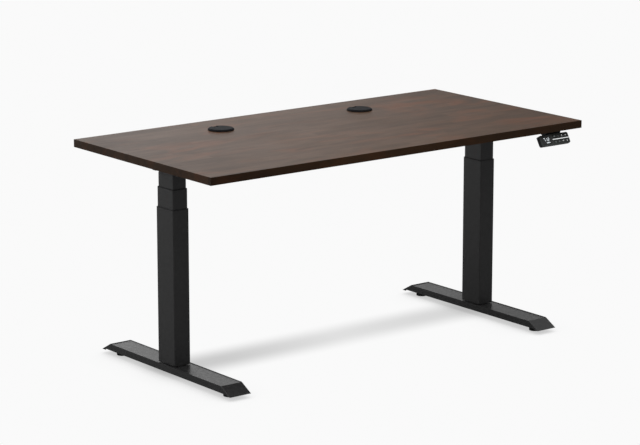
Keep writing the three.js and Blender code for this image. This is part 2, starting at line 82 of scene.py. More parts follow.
# How much thicker the grommets' rims are than in the CAD model.
GROMMET_LIFT = 0.0015

# The floor: its own brightness; how far and how deep its painted contact shadow darkens it near what
# touches it; and the painted shadow, a soft dark band between the feet: its middle, its half width, the x
# between which its depth goes from the first depth to the second and adds the third, and the x between
# which its ends fade.
FLOOR_RADIUS, FLOOR_GLOW = 40.0, 0.955
CONTACT_SHADE_REACH, CONTACT_SHADE_OPEN, CONTACT_SHADE_DEPTH = 0.12, 0.9, 0.45
SHADOW_BAND_Y, SHADOW_BAND_CORE, SHADOW_BAND_HALF = 0.055, 0.01, 0.15
SHADOW_BAND_DEPTHS, SHADOW_BAND_LEFT, SHADOW_BAND_RIGHT, SHADOW_BAND_ENDS = (0.37, 0.22, 0.05), (-0.4, 0.05), (0.1, 0.45), (0.57, 0.72)

# The light from all round: its level, and how much more of it comes from +X, +Y and +Z.
WORLD_BASE, WORLD_X, WORLD_Y, WORLD_Z, WORLD_LEAST = 0.38, -0.27, 0.05, 0.28, 0.1

# The card behind the desk: x from and to, y, z from and to; how its glow fades along x and up z.
CARD = (-4.0, 7.0, 3.6, 0.1, 5.0)
CARD_FADE, CARD_START = (1.0, 4.6, 0.12), 2.0
CARD_LEVEL, CARD_FOOT, CARD_FOOT_FADE, CARD_UPPER_FADE = 1.2, 0.78, (1.25, 1.5), 1.6


def span(node):
    """Lowest and highest corner of a CAD node as numpy arrays, in metres."""
    low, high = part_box(node)
    return np.array(low), np.array(high)


def middle(node):
    """Middle of a CAD node's box."""
    low, high = span(node)
    return (low + high) / 2


def over(node):
    """Where a shape drawn about the Z axis goes so that it stands over the middle of a CAD node."""
    return (*middle(node)[:2], 0)


# ---------------------------------------------------------------- settings
def length_setting(name, description, default):
    """A length that a user may change."""
    return FloatProperty(name=name, description=description, default=default, unit="LENGTH")


def colour_setting(name, description, *default):
    """A colour that a user may change, as linear red, green and blue."""
    return FloatVectorProperty(name=name, description=description, subtype="COLOR", size=4,
                               default=(*default, 1), min=0, max=1)


class DeskSizes(PropertyGroup):
    """Small sizes that the finishing pieces add to the CAD model."""

    edge_band: length_setting("Edge band", "Thickness of the strip on the board's edges", 0.001)
    sheet_bend: length_setting("Sheet bend", "Outside radius of the folds in the feet", 0.0018)
    tube_edge: length_setting("Tube edge", "Radius on the cut ends of the column tubes", 0.0004)
    thread_pitch: length_setting(
        "Lift screw pitch", "Distance from one turn of a lift screw to the next", 0.008)
    displayed_height: IntProperty(
        name="Displayed height", description="Height on the handset, in millimetres",
        default=712, min=0, max=1999)


class DeskColours(PropertyGroup):
    """Colours that a user may change."""

    walnut_dark: colour_setting("Walnut, dark", "Darkest streaks of the board", 0.042, 0.0205, 0.0098)
    walnut_light: colour_setting("Walnut, light", "Lightest streaks of the board", 0.146, 0.068, 0.026)
    coat: colour_setting("Powder coat", "Colour of the steel frame", 0.024, 0.024, 0.0245)
    plastic: colour_setting("Plastic", "Colour of the moulded plastic", 0.014, 0.014, 0.016)
    glow: colour_setting("Display", "Colour of the lit digits", 0.85, 0.92, 0.95)


class DeskStudio(PropertyGroup):
    """Camera, lights and floor."""

    azimuth: FloatProperty(
        name="Azimuth", description="Camera direction round the desk; 0 looks along +Y",
        default=math.radians(-37.7409), subtype="ANGLE")
    elevation: FloatProperty(
        name="Elevation", description="Camera angle above the horizon",
        default=math.radians(12.8844), subtype="ANGLE")
    distance: length_setting("Distance", "Camera to the point it looks at", 8.7101)
    lens: FloatProperty(name="Lens", description="Focal length on a 36 mm sensor", default=150.69)
    aim: FloatVectorProperty(
        name="Aim", description="Point that the camera looks at", subtype="XYZ",
        size=3, default=(-0.0506, 0.0, 0.411), unit="LENGTH")
    floor: colour_setting("Floor", "Colour of the floor", 0.25, 0.25, 0.25)
    dome: FloatProperty(
        name="Dome", description="Strength of the light from all round", default=1.0, min=0)
    overhead: FloatProperty(
        name="Overhead", description="Strength of the soft light from above", default=0.7, min=0)


# ---------------------------------------------------------------- numpy surfaces
def new_object(name, data):
    """An object in the scene."""
    piece = bpy.data.objects.new(name, data)
    bpy.context.scene.collection.objects.link(piece)
    return piece


def make_piece(name, verts, faces, finish, body="upper"):
    """A mesh object from vertices and faces, with its faces turned outwards, riding on a CAD body."""
    mesh = bpy.data.meshes.new(name)
    mesh.from_pydata(np.asarray(verts, float).tolist(), [], faces)
    mesh.validate()
    mesh.update()
    turn_outwards(mesh)
    mesh.polygons.foreach_set("use_smooth", [True] * len(mesh.polygons))
    mesh.materials.append(FINISHES[finish])
    mark_sharp(mesh)
    piece = new_object(name, mesh)
    flats = piece.modifiers.new("flat faces", "WEIGHTED_NORMAL")
    flats.weight = 100
    flats.keep_sharp = True
    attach(piece, body)
    return piece


def turn_outwards(mesh):
    """Recalculates a closed mesh's face directions, with doubled points merged first."""
    bm = bmesh.new()
    bm.from_mesh(mesh)
    bmesh.ops.remove_doubles(bm, verts=bm.verts, dist=1e-7)
    bmesh.ops.recalc_face_normals(bm, faces=bm.faces)
    bm.to_mesh(mesh)
    bm.free()


def mark_sharp(mesh):
    """Marks sharp edges, so that flat faces stay flat and rounded ones shade smoothly."""
    mesh.set_sharp_from_angle(angle=SHARP_ANGLE)


def skin(index):
    """Quads between successive rows of vertex numbers, each row closed on itself."""
    a, b = index[:-1], index[1:]
    return np.stack([a, np.roll(a, -1, 1), np.roll(b, -1, 1), b], -1).reshape(-1, 4).tolist()


def loft(rings, ring_closed=False):
    """Vertices and faces of the skin through rings of equal point count.

    rings is (levels, points, 3). With ring_closed the last ring joins the first, which makes a
    tube with walls; without it the first and last rings are capped.
    """
    rings = np.asarray(rings, float)
    levels, count = rings.shape[:2]
    index = np.arange(levels * count).reshape(levels, count)
    if ring_closed:
        index = np.vstack([index, index[:1]])
    faces = skin(index)
    if not ring_closed:
        faces.append(index[0][::-1].tolist())
        faces.append(index[-1].tolist())
    return rings.reshape(-1, 3), faces


def circle(radius, count=ROUND):
    """Points of a circle, as (count, 2)."""
    a = np.linspace(0, 2 * np.pi, count, endpoint=False)
    return radius * np.stack([np.cos(a), np.sin(a)], -1)


def rounded_rectangle(width, height, corner, steps=6):
    """Outline of a rectangle whose corners are quarter circles, anticlockwise, as (points, 2)."""
    corner = max(corner, 1e-5)
    a = np.linspace(0, np.pi / 2, steps + 1)
    arc = np.stack([np.cos(a), np.sin(a)], -1) * corner
    arcs = []
    for quarter, (sx, sy) in enumerate([(1, 1), (-1, 1), (-1, -1), (1, -1)]):
        c, s = math.cos(quarter * math.pi / 2), math.sin(quarter * math.pi / 2)
        centre = np.array([sx * (width / 2 - corner), sy * (height / 2 - corner)])
        arcs.append(centre + arc @ np.array([[c, s], [-s, c]]))
    return np.concatenate(arcs)


def inset(outline, distance):
    """An outline moved inwards by a distance: each point goes along the mean of its two edges' normals."""
    before = outline - np.roll(outline, 1, 0)
    after = np.roll(outline, -1, 0) - outline
    before /= np.linalg.norm(before, axis=1, keepdims=True) + 1e-12
    after /= np.linalg.norm(after, axis=1, keepdims=True) + 1e-12
    normals = np.stack([-(before + after)[:, 1], (before + after)[:, 0]], -1)
    normals /= np.linalg.norm(normals, axis=1, keepdims=True) + 1e-12
    edge_normal = np.stack([-after[:, 1], after[:, 0]], -1)
    stretch = np.clip((normals * edge_normal).sum(1, keepdims=True), 0.35, 1)
    return outline + normals * distance / stretch


def flat_ring(outline, z):
    """An outline lifted to height z, as (points, 3)."""
    return np.column_stack([outline, np.full(len(outline), z)])


def rounding(radius, steps=4):
    """Insets and drops that follow a quarter circle, from a wall to the face above it."""
    a = np.linspace(0, np.pi / 2, steps + 1)
    return list(zip(radius * (1 - np.cos(a)), radius * (1 - np.sin(a))))


def slab_rings(outline, bottom, top, edge, steps=4, sign=1):
    """Rings of a slab with rounded upper and lower edges, from the bottom face to the top face. With a
    sign of -1 they are the wall of a hole, whose edges round away from it."""
    under = [flat_ring(inset(outline, sign * i), bottom + d) for i, d in reversed(rounding(edge, steps))]
    over = [flat_ring(inset(outline, sign * i), top - d) for i, d in rounding(edge, steps)]
    return np.array(under + over)


def turned_rings(profile, count=ROUND):
    """Rings of a profile of (radius, height) points turned about Z."""
    ring = circle(1, count)
    return np.array([flat_ring(ring * max(r, 1e-6), z) for r, z in profile])


def moved(rings, place):
    """Rings carried by a 4x4 matrix, or moved by a vector."""
    rings = np.asarray(rings, float)
    if isinstance(place, Matrix):
        m = np.array(place)
        return rings @ m[:3, :3].T + m[:3, 3]
    return rings + np.asarray(place, float)


def axes_matrix(x, y, z, at):
    """4x4 matrix whose columns are three axes and a place."""
    m = Matrix.Identity(4)
    for column, axis in enumerate((x, y, z, at)):
        for row in range(3):
            m[row][column] = axis[row]
    return m


def along_x(at=(0, 0, 0)):
    """Turns a shape drawn along Z so that it lies along X: Z goes to X, X to Y and Y to Z."""
    return axes_matrix((0, 1, 0), (0, 0, 1), (1, 0, 0), at)


def perforated(outline, holes, bottom, top, edge, steps=3):
    """Vertices and faces of a slab with holes: each loop gets a wall with rounded edges, and the two
    faces are filled between the outer loop and the holes."""
    verts, faces, start = [], [], 0
    lids = [[], []]
    for loop, sign in [(outline, 1)] + [(hole, -1) for hole in holes]:
        rings = slab_rings(loop, bottom, top, edge, steps, sign)
        levels, count = rings.shape[:2]
        index = start + np.arange(levels * count).reshape(levels, count)
        faces += skin(index)
        verts.append(rings.reshape(-1, 3))
        lids[0].append(index[0])
        lids[1].append(index[-1])
        start += levels * count
    verts = np.concatenate(verts)
    for loops in lids:
        flat = np.concatenate(loops)
        triangles = tessellate_polygon([[Vector(verts[i]) for i in loop] for loop in loops])
        faces += [[int(flat[i]) for i in triangle] for triangle in triangles]
    return verts, faces


def swept(path, radius, count=12):
    """Rings of a round section carried along a path of (points, 3), kept from twisting."""
    path = np.asarray(path, float)
    tangent = np.gradient(path, axis=0)
    tangent /= np.linalg.norm(tangent, axis=1, keepdims=True)
    up = np.array([0.0, 0.0, 1.0])
    side = np.cross(tangent, up)
    steep = np.linalg.norm(side, axis=1) < 1e-3
    side[steep] = (1, 0, 0)
    side /= np.linalg.norm(side, axis=1, keepdims=True)
    lift = np.cross(side, tangent)
    ring = circle(1, count)
    radius = np.broadcast_to(np.asarray(radius, float), len(path))[:, None, None]
    offset = ring[None, :, :1] * side[:, None, :] + ring[None, :, 1:] * lift[:, None, :]
    return path[:, None, :] + radius * offset


def threaded(radius, depth, pitch, bottom, top, count=32, per_turn=10):
    """Rings of a screw thread: r = radius - depth * wave(z / pitch - angle / turn), where wave is a
    trapezium, and the thread runs out into a plain end at both ends."""
    levels = int((top - bottom) / pitch * per_turn) + 1
    z = np.linspace(bottom, top, levels)[:, None]
    a = np.linspace(0, 2 * np.pi, count, endpoint=False)[None, :]
    phase = np.mod(z / pitch - a / (2 * np.pi), 1)
    wave = np.clip(np.abs(phase - 0.5) * 4 - 0.5, 0, 1)
    fade = np.clip(np.minimum(z - bottom, top - z) / pitch, 0, 1)
    r = radius - depth * wave * fade
    return np.stack([r * np.cos(a), r * np.sin(a), np.broadcast_to(z, r.shape)], -1)


def add_group(name, parts, finish, body="upper", ring_closed=False):
    """One piece of several separate closed shapes, each given as rings."""
    verts, faces, start = [], [], 0
    for rings in parts:
        v, f = loft(rings, ring_closed)
        verts.append(v)
        faces += [[i + start for i in face] for face in f]
        start += len(v)
    return make_piece(name, np.concatenate(verts), faces, finish, body)


def add_loft(name, rings, finish, body="upper", ring_closed=False):
    """A piece lofted through rings."""
    return add_group(name, [rings], finish, body, ring_closed)


def cut_away(piece, *cutters):
    """Cuts closed shapes, given as rings, out of a piece."""
    for rings in cutters:
        verts, faces = loft(rings)
        mesh = bpy.data.meshes.new("cutter")
        mesh.from_pydata(verts.tolist(), [], faces)
        turn_outwards(mesh)
        cutter = new_object("cutter", mesh)
        modifier = piece.modifiers.new("cut", "BOOLEAN")
        modifier.operation = "DIFFERENCE"
        modifier.solver = "EXACT"
        modifier.object = cutter
        apply_cut(piece, modifier)
        bpy.data.objects.remove(cutter)
        bpy.data.meshes.remove(mesh)
    mark_sharp(piece.data)
    return piece


def apply_cut(piece, cut):
    """Bakes a piece's Boolean modifier into its mesh, and leaves its other modifiers as they are."""
    others = [m for m in piece.modifiers if m != cut]
    for m in others:
        m.show_viewport = False
    bpy.context.view_layer.update()
    depsgraph = bpy.context.evaluated_depsgraph_get()
    mesh = bpy.data.meshes.new_from_object(piece.evaluated_get(depsgraph), depsgraph=depsgraph)
    mesh.name = piece.data.name
    piece.modifiers.remove(cut)
    piece.data = mesh
    for m in others:
        m.show_viewport = True


def finish_node(node, finish, edge):
    """Gives a CAD node its finish, and softens its edges with Weld and Bevel modifiers."""
    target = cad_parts[node]
    target.data.materials.clear()
    target.data.materials.append(FINISHES[finish])
    weld = target.modifiers.new("join", "WELD")
    weld.merge_threshold = 1e-6
    bevel = target.modifiers.new("edges", "BEVEL")
    bevel.width = edge
    bevel.segments = 2
    bevel.limit_method = "ANGLE"
    bevel.angle_limit = math.radians(35)
    bevel.harden_normals = False


# ---------------------------------------------------------------- node groups
def new_group(name, inputs, outputs):
    """A shader node group with named sockets, each given as (name, kind, default)."""
    group = bpy.data.node_groups.new(name, "ShaderNodeTree")
    for direction, sockets in (("INPUT", inputs), ("OUTPUT", outputs)):
        for label, kind, default in sockets:
            socket = group.interface.new_socket(label, in_out=direction, socket_type=f"NodeSocket{kind}")
            if default is not None:
                socket.default_value = default
    entry = group.nodes.new("NodeGroupInput")
    leave = group.nodes.new("NodeGroupOutput")
    return group, entry.outputs, leave.inputs


def add_node(tree, kind, sockets=None, **settings):
    """A node with its settings, and its sockets set to values or joined to other nodes' outputs."""
    node = tree.nodes.new(f"ShaderNode{kind}")
    for key, value in settings.items():
        setattr(node, key, value)
    for key, value in (sockets or {}).items():
        if isinstance(value, bpy.types.NodeSocket):
            tree.links.new(value, node.inputs[key])
        else:
            node.inputs[key].default_value = value
    return node


def maths(tree, operation, a, b=0.5, clamp=False):
    """A Math node's output."""
    return add_node(tree, "Math", {0: a, 1: b}, operation=operation, use_clamp=clamp).outputs[0]


def vector_maths(tree, operation, a, b):
    """A Vector Math node's output."""
    return add_node(tree, "VectorMath", {0: a, 1: b}, operation=operation).outputs[0]


def ramp(tree, factor, low, high, to_low=0.0, to_high=1.0, curve="LINEAR"):
    """A value carried from one range to another, held at its ends."""
    sockets = {"Value": factor, "From Min": low, "From Max": high, "To Min": to_low, "To Max": to_high}
    return add_node(tree, "MapRange", sockets, interpolation_type=curve).outputs[0]


def smooth(tree, factor, low, high, to_low, to_high):
    """A value carried from one range to another along an S-shaped curve, held at its ends."""
    return ramp(tree, factor, low, high, to_low, to_high, "SMOOTHSTEP")


def mix_colours(tree, factor, a, b, blend="MIX"):
    """A Mix Color node's output."""
    node = add_node(tree, "Mix", {"Factor": factor, 6: a, 7: b}, data_type="RGBA", blend_type=blend)
    return node.outputs[2]


def noise(tree, vector, scale, detail=3.0, roughness=0.55, distortion=0.0):
    """A Noise Texture's factor."""
    sockets = {"Vector": vector, "Scale": scale, "Detail": detail, "Roughness": roughness,
               "Distortion": distortion}
    return add_node(tree, "TexNoise", sockets).outputs["Fac"]


def split_axes(tree, vector):
    """A vector's X, Y and Z."""
    return add_node(tree, "SeparateXYZ", {0: vector}).outputs


def stretched(tree, vector, scale):
    """A vector scaled along its three axes, so that a pattern on it is drawn out."""
    return add_node(tree, "Mapping", {"Vector": vector, "Scale": scale}).outputs[0]


def fine_grain_group():
    """Fine pitting of a sprayed or moulded surface: a height, and a mask that varies the gloss."""
    group, entry, leave = new_group(
        "Fine Grain", [("Vector", "Vector", None), ("Size", "Float", 0.001)],
        [("Height", "Float", None), ("Mask", "Float", None)])
    scale = maths(group, "DIVIDE", 1.0, entry["Size"])
    pits = noise(group, entry["Vector"], scale, 2.0)
    broad = noise(group, entry["Vector"], maths(group, "MULTIPLY", scale, 0.09), 3.0)
    height = maths(group, "ADD", maths(group, "MULTIPLY", pits, 0.75),
                   maths(group, "MULTIPLY", broad, 0.25))
    group.links.new(height, leave["Height"])
    group.links.new(ramp(group, broad, 0.3, 0.7), leave["Mask"])
    return group


def handling_wear_group():
    """Rubbed patches and hairline scratches: a mask from 0 to the amount."""
    group, entry, leave = new_group(
        "Handling Wear", [("Vector", "Vector", None), ("Scale", "Float", 4.0), ("Amount", "Float", 0.5)],
        [("Mask", "Float", None)])
    patches = ramp(group, noise(group, entry["Vector"], entry["Scale"], 5.0, 0.65), 0.5, 0.72)
    lines = noise(group, stretched(group, entry["Vector"], (3.0, 60.0, 25.0)), entry["Scale"], 3.0)
    scratches = ramp(group, lines, 0.66, 0.7)
    both = maths(group, "ADD", patches, maths(group, "MULTIPLY", scratches, 0.5), clamp=True)
    group.links.new(maths(group, "MULTIPLY", both, entry["Amount"]), leave["Mask"])
    return group


def settled_dust_group():
    """A thin film where a surface faces up, broken up by noise: a mask from 0 to the amount."""
    group, entry, leave = new_group(
        "Settled Dust", [("Vector", "Vector", None), ("Amount", "Float", 0.2)], [("Mask", "Float", None)])
    normal = add_node(group, "NewGeometry").outputs["Normal"]
    upward = ramp(group, split_axes(group, normal)[2], 0.6, 0.98)
    broken = ramp(group, noise(group, entry["Vector"], 9.0, 6.0, 0.7), 0.32, 0.75)
    film = maths(group, "MULTIPLY", upward, broken)
    group.links.new(maths(group, "MULTIPLY", film, entry["Amount"]), leave["Mask"])
    return group


def drawn_lines_group():
    """Fine parallel lines of rolled, drawn or turned metal: a height and a mask."""
    group, entry, leave = new_group(
        "Drawn Lines", [("Vector", "Vector", None), ("Stretch", "Vector", (400.0, 400.0, 4.0))],
        [("Height", "Float", None), ("Mask", "Float", None)])
    spread = vector_maths(group, "MULTIPLY", entry["Vector"], entry["Stretch"])
    lines = noise(group, spread, 1.0, 4.0, 0.6)
    group.links.new(lines, leave["Height"])
    group.links.new(ramp(group, lines, 0.3, 0.7), leave["Mask"])
    return group


def wood_figure_group():
    """Walnut: staves of glued strips along X, each with its own tone and its own run of grain lines.

    The strip number comes from rounding Y and X, and shifts the grain; the tone mixes a random value
    for the strip with long streaks, and the height follows the pores.
    """
    group, entry, leave = new_group(
        "Wood Figure", [("Vector", "Vector", None), ("Strip", "Float", 0.045), ("Length", "Float", 0.55)],
        [("Tone", "Float", None), ("Red", "Float", None), ("Height", "Float", None)])
    x, y, _ = split_axes(group, entry["Vector"])
    row = maths(group, "FLOOR", maths(group, "DIVIDE", y, entry["Strip"]))
    offset = add_node(group, "TexWhiteNoise", {"W": row}, noise_dimensions="1D").outputs["Value"]
    run = maths(group, "ADD", maths(group, "DIVIDE", x, entry["Length"]), offset)
    column = maths(group, "FLOOR", run)
    cell = add_node(group, "CombineXYZ", {0: row, 1: column})
    strip = add_node(group, "TexWhiteNoise", {"Vector": cell.outputs[0]}, noise_dimensions="3D")
    shift = vector_maths(group, "MULTIPLY", strip.outputs["Color"], (9.0, 9.0, 9.0))
    shifted = vector_maths(group, "ADD", entry["Vector"], shift)
    streaks = noise(group, stretched(group, shifted, (1.6, 26.0, 26.0)), 1.0, 6.0, 0.6, 0.6)
    pores = noise(group, stretched(group, shifted, (14.0, 520.0, 520.0)), 1.0, 3.0, 0.6)
    mottle = noise(group, stretched(group, shifted, (3.2, 11.0, 11.0)), 1.0, 5.0, 0.62, 1.0)
    clouds = noise(group, stretched(group, entry["Vector"], (1.9, 2.6, 2.6)), 1.0, 3.0)
    # The tone is lighter towards the board's middle along X and darker towards its ends.
    lighter_middle = ramp(group, maths(group, "ABSOLUTE", maths(group, "ADD", x, 0.02)), 0.1, 0.75, 1.0, 0.0)
    tone = maths(group, "MULTIPLY", strip.outputs["Value"], 0.14)
    for pattern, low, high, share in ((streaks, 0.3, 0.7, 0.19), (mottle, 0.34, 0.66, 0.36),
                                      (clouds, 0.35, 0.65, 0.12), (lighter_middle, 0.0, 1.0, 0.22)):
        tone = maths(group, "ADD", tone, maths(group, "MULTIPLY", ramp(group, pattern, low, high), share))
    dark_pores = ramp(group, pores, 0.36, 0.5, 0.7, 1.0)
    group.links.new(maths(group, "MULTIPLY", tone, dark_pores), leave["Tone"])
    patches = noise(group, stretched(group, entry["Vector"], (3.5, 9.5, 9.5)), 1.0, 4.0, 0.6, 0.7)
    group.links.new(ramp(group, patches, 0.52, 0.68), leave["Red"])
    height = maths(group, "ADD", dark_pores, maths(group, "MULTIPLY", streaks, 0.3))
    group.links.new(height, leave["Height"])
    return group


GROUPS = {}


def use_group(tree, name, sockets):
    """A group node placed in a material with its own values."""
    return add_node(tree, "Group", sockets, node_tree=GROUPS[name]).outputs


def shade(colour, factor):
    """A colour with its channels multiplied by a factor, or by one each."""
    return (*(np.array(colour[:3]) * factor), 1)


# ---------------------------------------------------------------- materials
def first_node(tree, kind):
    """The node of a kind that a new tree comes with."""
    return next(n for n in tree.nodes if n.type == kind)


def start_material(name, **sockets):
    """A material, its tree, its Principled BSDF with plain values set on its own sockets, and its Object
    coordinates."""
    material = bpy.data.materials.new(name)
    material.use_nodes = True
    tree = material.node_tree
    shader = first_node(tree, "BSDF_PRINCIPLED")
    for key, value in sockets.items():
        shader.inputs[key.replace("_", " ").title().replace("Ior", "IOR")].default_value = value
    coordinates = add_node(tree, "TexCoord").outputs["Object"]
    return material, tree, shader, coordinates


def bump(tree, shader, height, strength, distance):
    """A bump from a height, into the shader's normal."""
    node = add_node(tree, "Bump", {"Height": height, "Strength": strength, "Distance": distance})
    tree.links.new(node.outputs[0], shader.inputs["Normal"])


def finish_shader(tree, shader, colour, roughness=None):
    """Joins a colour, and a roughness where it varies, to the shader."""
    tree.links.new(colour, shader.inputs["Base Color"])
    if roughness is not None:
        tree.links.new(roughness, shader.inputs["Roughness"])


def sprayed_material(name, colour, roughness, size, specular=0.5, dust=0.12, wear=0.25):
    """Powder coat, paint or moulded plastic: fine grain, rubbed patches and a little dust."""
    material, tree, shader, at = start_material(name, specular_ior_level=specular)
    grain = use_group(tree, "Fine Grain", {"Vector": at, "Size": size})
    worn = use_group(tree, "Handling Wear", {"Vector": at, "Scale": 5.0, "Amount": wear})["Mask"]
    film = use_group(tree, "Settled Dust", {"Vector": at, "Amount": dust})["Mask"]
    tone = shade(colour, 1.35)
    base = mix_colours(tree, grain["Mask"], colour, tone)
    base = mix_colours(tree, film, base, (0.16, 0.155, 0.15, 1))
    rough = ramp(tree, grain["Mask"], 0.0, 1.0, roughness - 0.04, roughness + 0.05)
    rough = maths(tree, "SUBTRACT", rough, maths(tree, "MULTIPLY", worn, 0.14))
    rough = maths(tree, "ADD", rough, maths(tree, "MULTIPLY", film, 0.5), clamp=True)
    finish_shader(tree, shader, base, rough)
    bump(tree, shader, grain["Height"], 0.35, size * 0.25)
    return material


def metal_material(name, colour, roughness, stretch, oil=0.0):
    """Bare metal with drawn or turned lines and darker stains."""
    material, tree, shader, at = start_material(name, metallic=1.0)
    lines = use_group(tree, "Drawn Lines", {"Vector": at, "Stretch": stretch})
    stain = use_group(tree, "Handling Wear", {"Vector": at, "Scale": 14.0, "Amount": 0.5 + oil})["Mask"]
    dark = shade(colour, 0.62)
    base = mix_colours(tree, stain, mix_colours(tree, lines["Mask"], dark, colour), dark)
    rough = ramp(tree, lines["Mask"], 0.0, 1.0, roughness - 0.06, roughness + 0.1)
    finish_shader(tree, shader, base, rough)
    bump(tree, shader, lines["Height"], 0.2, 0.00008)
    return material


def walnut_material(name, gloss, painted_shade_factor=1.0, sheen=0.36):
    """Walnut under a satin lacquer: strip tones, streaks, open pores and reddish patches."""
    colours = bpy.context.scene.desk_colours
    material, tree, shader, at = start_material(
        name, coat_roughness=0.4, coat_weight=0.05, specular_ior_level=sheen)
    figure = use_group(tree, "Wood Figure", {"Vector": at})
    # A factor below 1 darkens all of the walnut's colours as painted shade.
    dark = shade(colours.walnut_dark, painted_shade_factor)
    light = shade(colours.walnut_light, painted_shade_factor)
    base = mix_colours(tree, figure["Tone"], dark, light)
    red = shade(light, (1.35, 0.98, 0.85))
    base = mix_colours(tree, maths(tree, "MULTIPLY", figure["Red"], 0.6), base, red)
    film = use_group(tree, "Settled Dust", {"Vector": at, "Amount": 0.05})["Mask"]
    base = mix_colours(tree, film, base, (0.2, 0.19, 0.18, 1))
    worn = use_group(tree, "Handling Wear", {"Vector": at, "Scale": 3.0, "Amount": 0.35})["Mask"]
    rough = ramp(tree, figure["Tone"], 0.0, 1.0, gloss + 0.06, gloss - 0.04)
    rough = maths(tree, "ADD", rough, maths(tree, "MULTIPLY", worn, 0.08), clamp=True)
    finish_shader(tree, shader, base, rough)
    bump(tree, shader, figure["Height"], 0.25, 0.00012)
    return material


def gloss_material(name, colour, roughness, coat=0.6):
    """Polished plastic or glass front with fine smears."""
    material, tree, shader, at = start_material(name, coat_weight=coat, coat_roughness=0.08)
    smear = use_group(tree, "Handling Wear", {"Vector": at, "Scale": 30.0, "Amount": 0.6})["Mask"]
    grain = use_group(tree, "Fine Grain", {"Vector": at, "Size": 0.002})
    tone = tuple(c * 1.5 + 0.003 for c in colour[:3]) + (1,)
    base = mix_colours(tree, smear, colour, tone)
    rough = ramp(tree, smear, 0.0, 0.6, roughness, roughness + 0.12)
    finish_shader(tree, shader, base, rough)
    bump(tree, shader, grain["Height"], 0.04, 0.0001)
    return material


def circuit_material():
    """Green solder resist over copper tracks, drawn as the joints of a brick pattern."""
    material, tree, shader, at = start_material("circuit board", specular_ior_level=0.6)
    cells = add_node(tree, "TexBrick", {
        "Vector": at, "Scale": 90.0, "Color1": (0.01, 0.09, 0.035, 1), "Color2": (0.014, 0.12, 0.05, 1),
        "Mortar": (0.03, 0.2, 0.07, 1), "Mortar Size": 0.035, "Brick Width": 0.7, "Row Height": 0.35})
    grain = use_group(tree, "Fine Grain", {"Vector": at, "Size": 0.0015})
    rough = ramp(tree, grain["Mask"], 0.0, 1.0, 0.3, 0.42)
    finish_shader(tree, shader, cells.outputs["Color"], rough)
    bump(tree, shader, cells.outputs["Fac"], 0.2, 0.0001)
    return material


def lit_material(name, colour, strength):
    """Lit print, or a silver line that glows as a painted highlight: its own colour, given off as light, a
    little uneven.
    """
    material, tree, shader, at = start_material(name, emission_strength=strength, roughness=0.4)
    grain = use_group(tree, "Fine Grain", {"Vector": at, "Size": 0.0012})
    dim = shade(colour, 0.7)
    glow = mix_colours(tree, grain["Mask"], dim, colour)
    tree.links.new(glow, shader.inputs["Emission Color"])
    finish_shader(tree, shader, glow)
    return material


def make_finishes():
    """All materials by a maker's name."""
    GROUPS.update({
        "Fine Grain": fine_grain_group(), "Handling Wear": handling_wear_group(),
        "Settled Dust": settled_dust_group(), "Drawn Lines": drawn_lines_group(),
        "Wood Figure": wood_figure_group()})
    colours = bpy.context.scene.desk_colours
    coat, plastic, glow = tuple(colours.coat), tuple(colours.plastic), tuple(colours.glow)
    steel = (0.55, 0.56, 0.58, 1)
    return {
        "walnut": walnut_material("walnut top", 0.42),
        # The edging is the top's walnut drawn at half brightness: painted shade on the board's upright
        # edges.
        "edging": walnut_material("walnut edging with painted shade", 0.5, painted_shade_factor=0.5, sheen=0.16),
        "coat": sprayed_material("satin powder coat", coat, 0.36, 0.0011, 0.62, 0.03),
        "nylon": sprayed_material("black nylon", plastic, 0.55, 0.0009, 0.06, 0.02),
        "guide": sprayed_material("guide nylon", coat, 0.45, 0.0009, 0.4, 0.02),
        "case": sprayed_material("moulded case", plastic, 0.5, 0.0007, 0.4, 0.1),
        "rubber": sprayed_material("rubber", (0.018, 0.018, 0.018, 1), 0.78, 0.0008, 0.3, 0.3),
        "enamel": sprayed_material("motor enamel", (0.02, 0.02, 0.022, 1), 0.36, 0.0014, 0.5, 0.15),
        "sheath": sprayed_material("cable sheath", (0.012, 0.012, 0.012, 1), 0.45, 0.0006, 0.45, 0.1),
        "cast": sprayed_material(
            "cast aluminium, blackened", (0.035, 0.035, 0.037, 1), 0.46, 0.0008, 0.6, 0.1),
        "screw": metal_material("rolled screw steel", steel, 0.3, (60.0, 60.0, 900.0), 0.3),
        "steel": metal_material("zinc-plated steel", (0.6, 0.6, 0.58, 1), 0.34, (700.0, 700.0, 60.0)),
        "black_bolt": metal_material("blackened bolt", (0.06, 0.06, 0.062, 1), 0.4, (600.0, 600.0, 60.0)),
        "bronze": metal_material("bronze", (0.6, 0.38, 0.14, 1), 0.34, (40.0, 40.0, 700.0), 0.2),
        "brass": metal_material("brass contacts", (0.8, 0.6, 0.25, 1), 0.28, (500.0, 20.0, 500.0)),
        # The silver line glows as a painted highlight; it is no lamp.
        "trim": lit_material("silver trim glowing as painted highlight", (0.9, 0.92, 0.92, 1), 0.7),
        "circuit": circuit_material(),
        "panel": gloss_material("handset panel", (0.043, 0.047, 0.045, 1), 0.3, 0.3),
        "window": gloss_material("display window", (0.022, 0.021, 0.022, 1), 0.12),
        "key": sprayed_material("keycap", (0.036, 0.040, 0.038, 1), 0.36, 0.0006, 0.5, 0.05, 0.1),
        "print": lit_material("key print", (0.5, 0.52, 0.52, 1), 0.25),
        "bright_print": lit_material("bright key print", (0.95, 0.97, 0.97, 1), 1.0),
        "glow": lit_material("display digits", glow, 1.2),
        "component": sprayed_material("component resin", (0.02, 0.02, 0.022, 1), 0.35, 0.0006, 0.5, 0.0),
        "capacitor": sprayed_material("capacitor sleeve", (0.02, 0.03, 0.09, 1), 0.3, 0.001, 0.5, 0.0),
    }


FINISHES = {}


# ---------------------------------------------------------------- places
def leg_place(side):
    """Matrix of one leg's own frame: column middle at the origin, inside of the desk towards +X."""
    at = middle(f"{side}_outer_tube")
    turn = 0.0 if side == "left" else math.pi
    return Matrix.Translation((at[0], at[1], 0)) @ Matrix.Rotation(turn, 4, "Z")


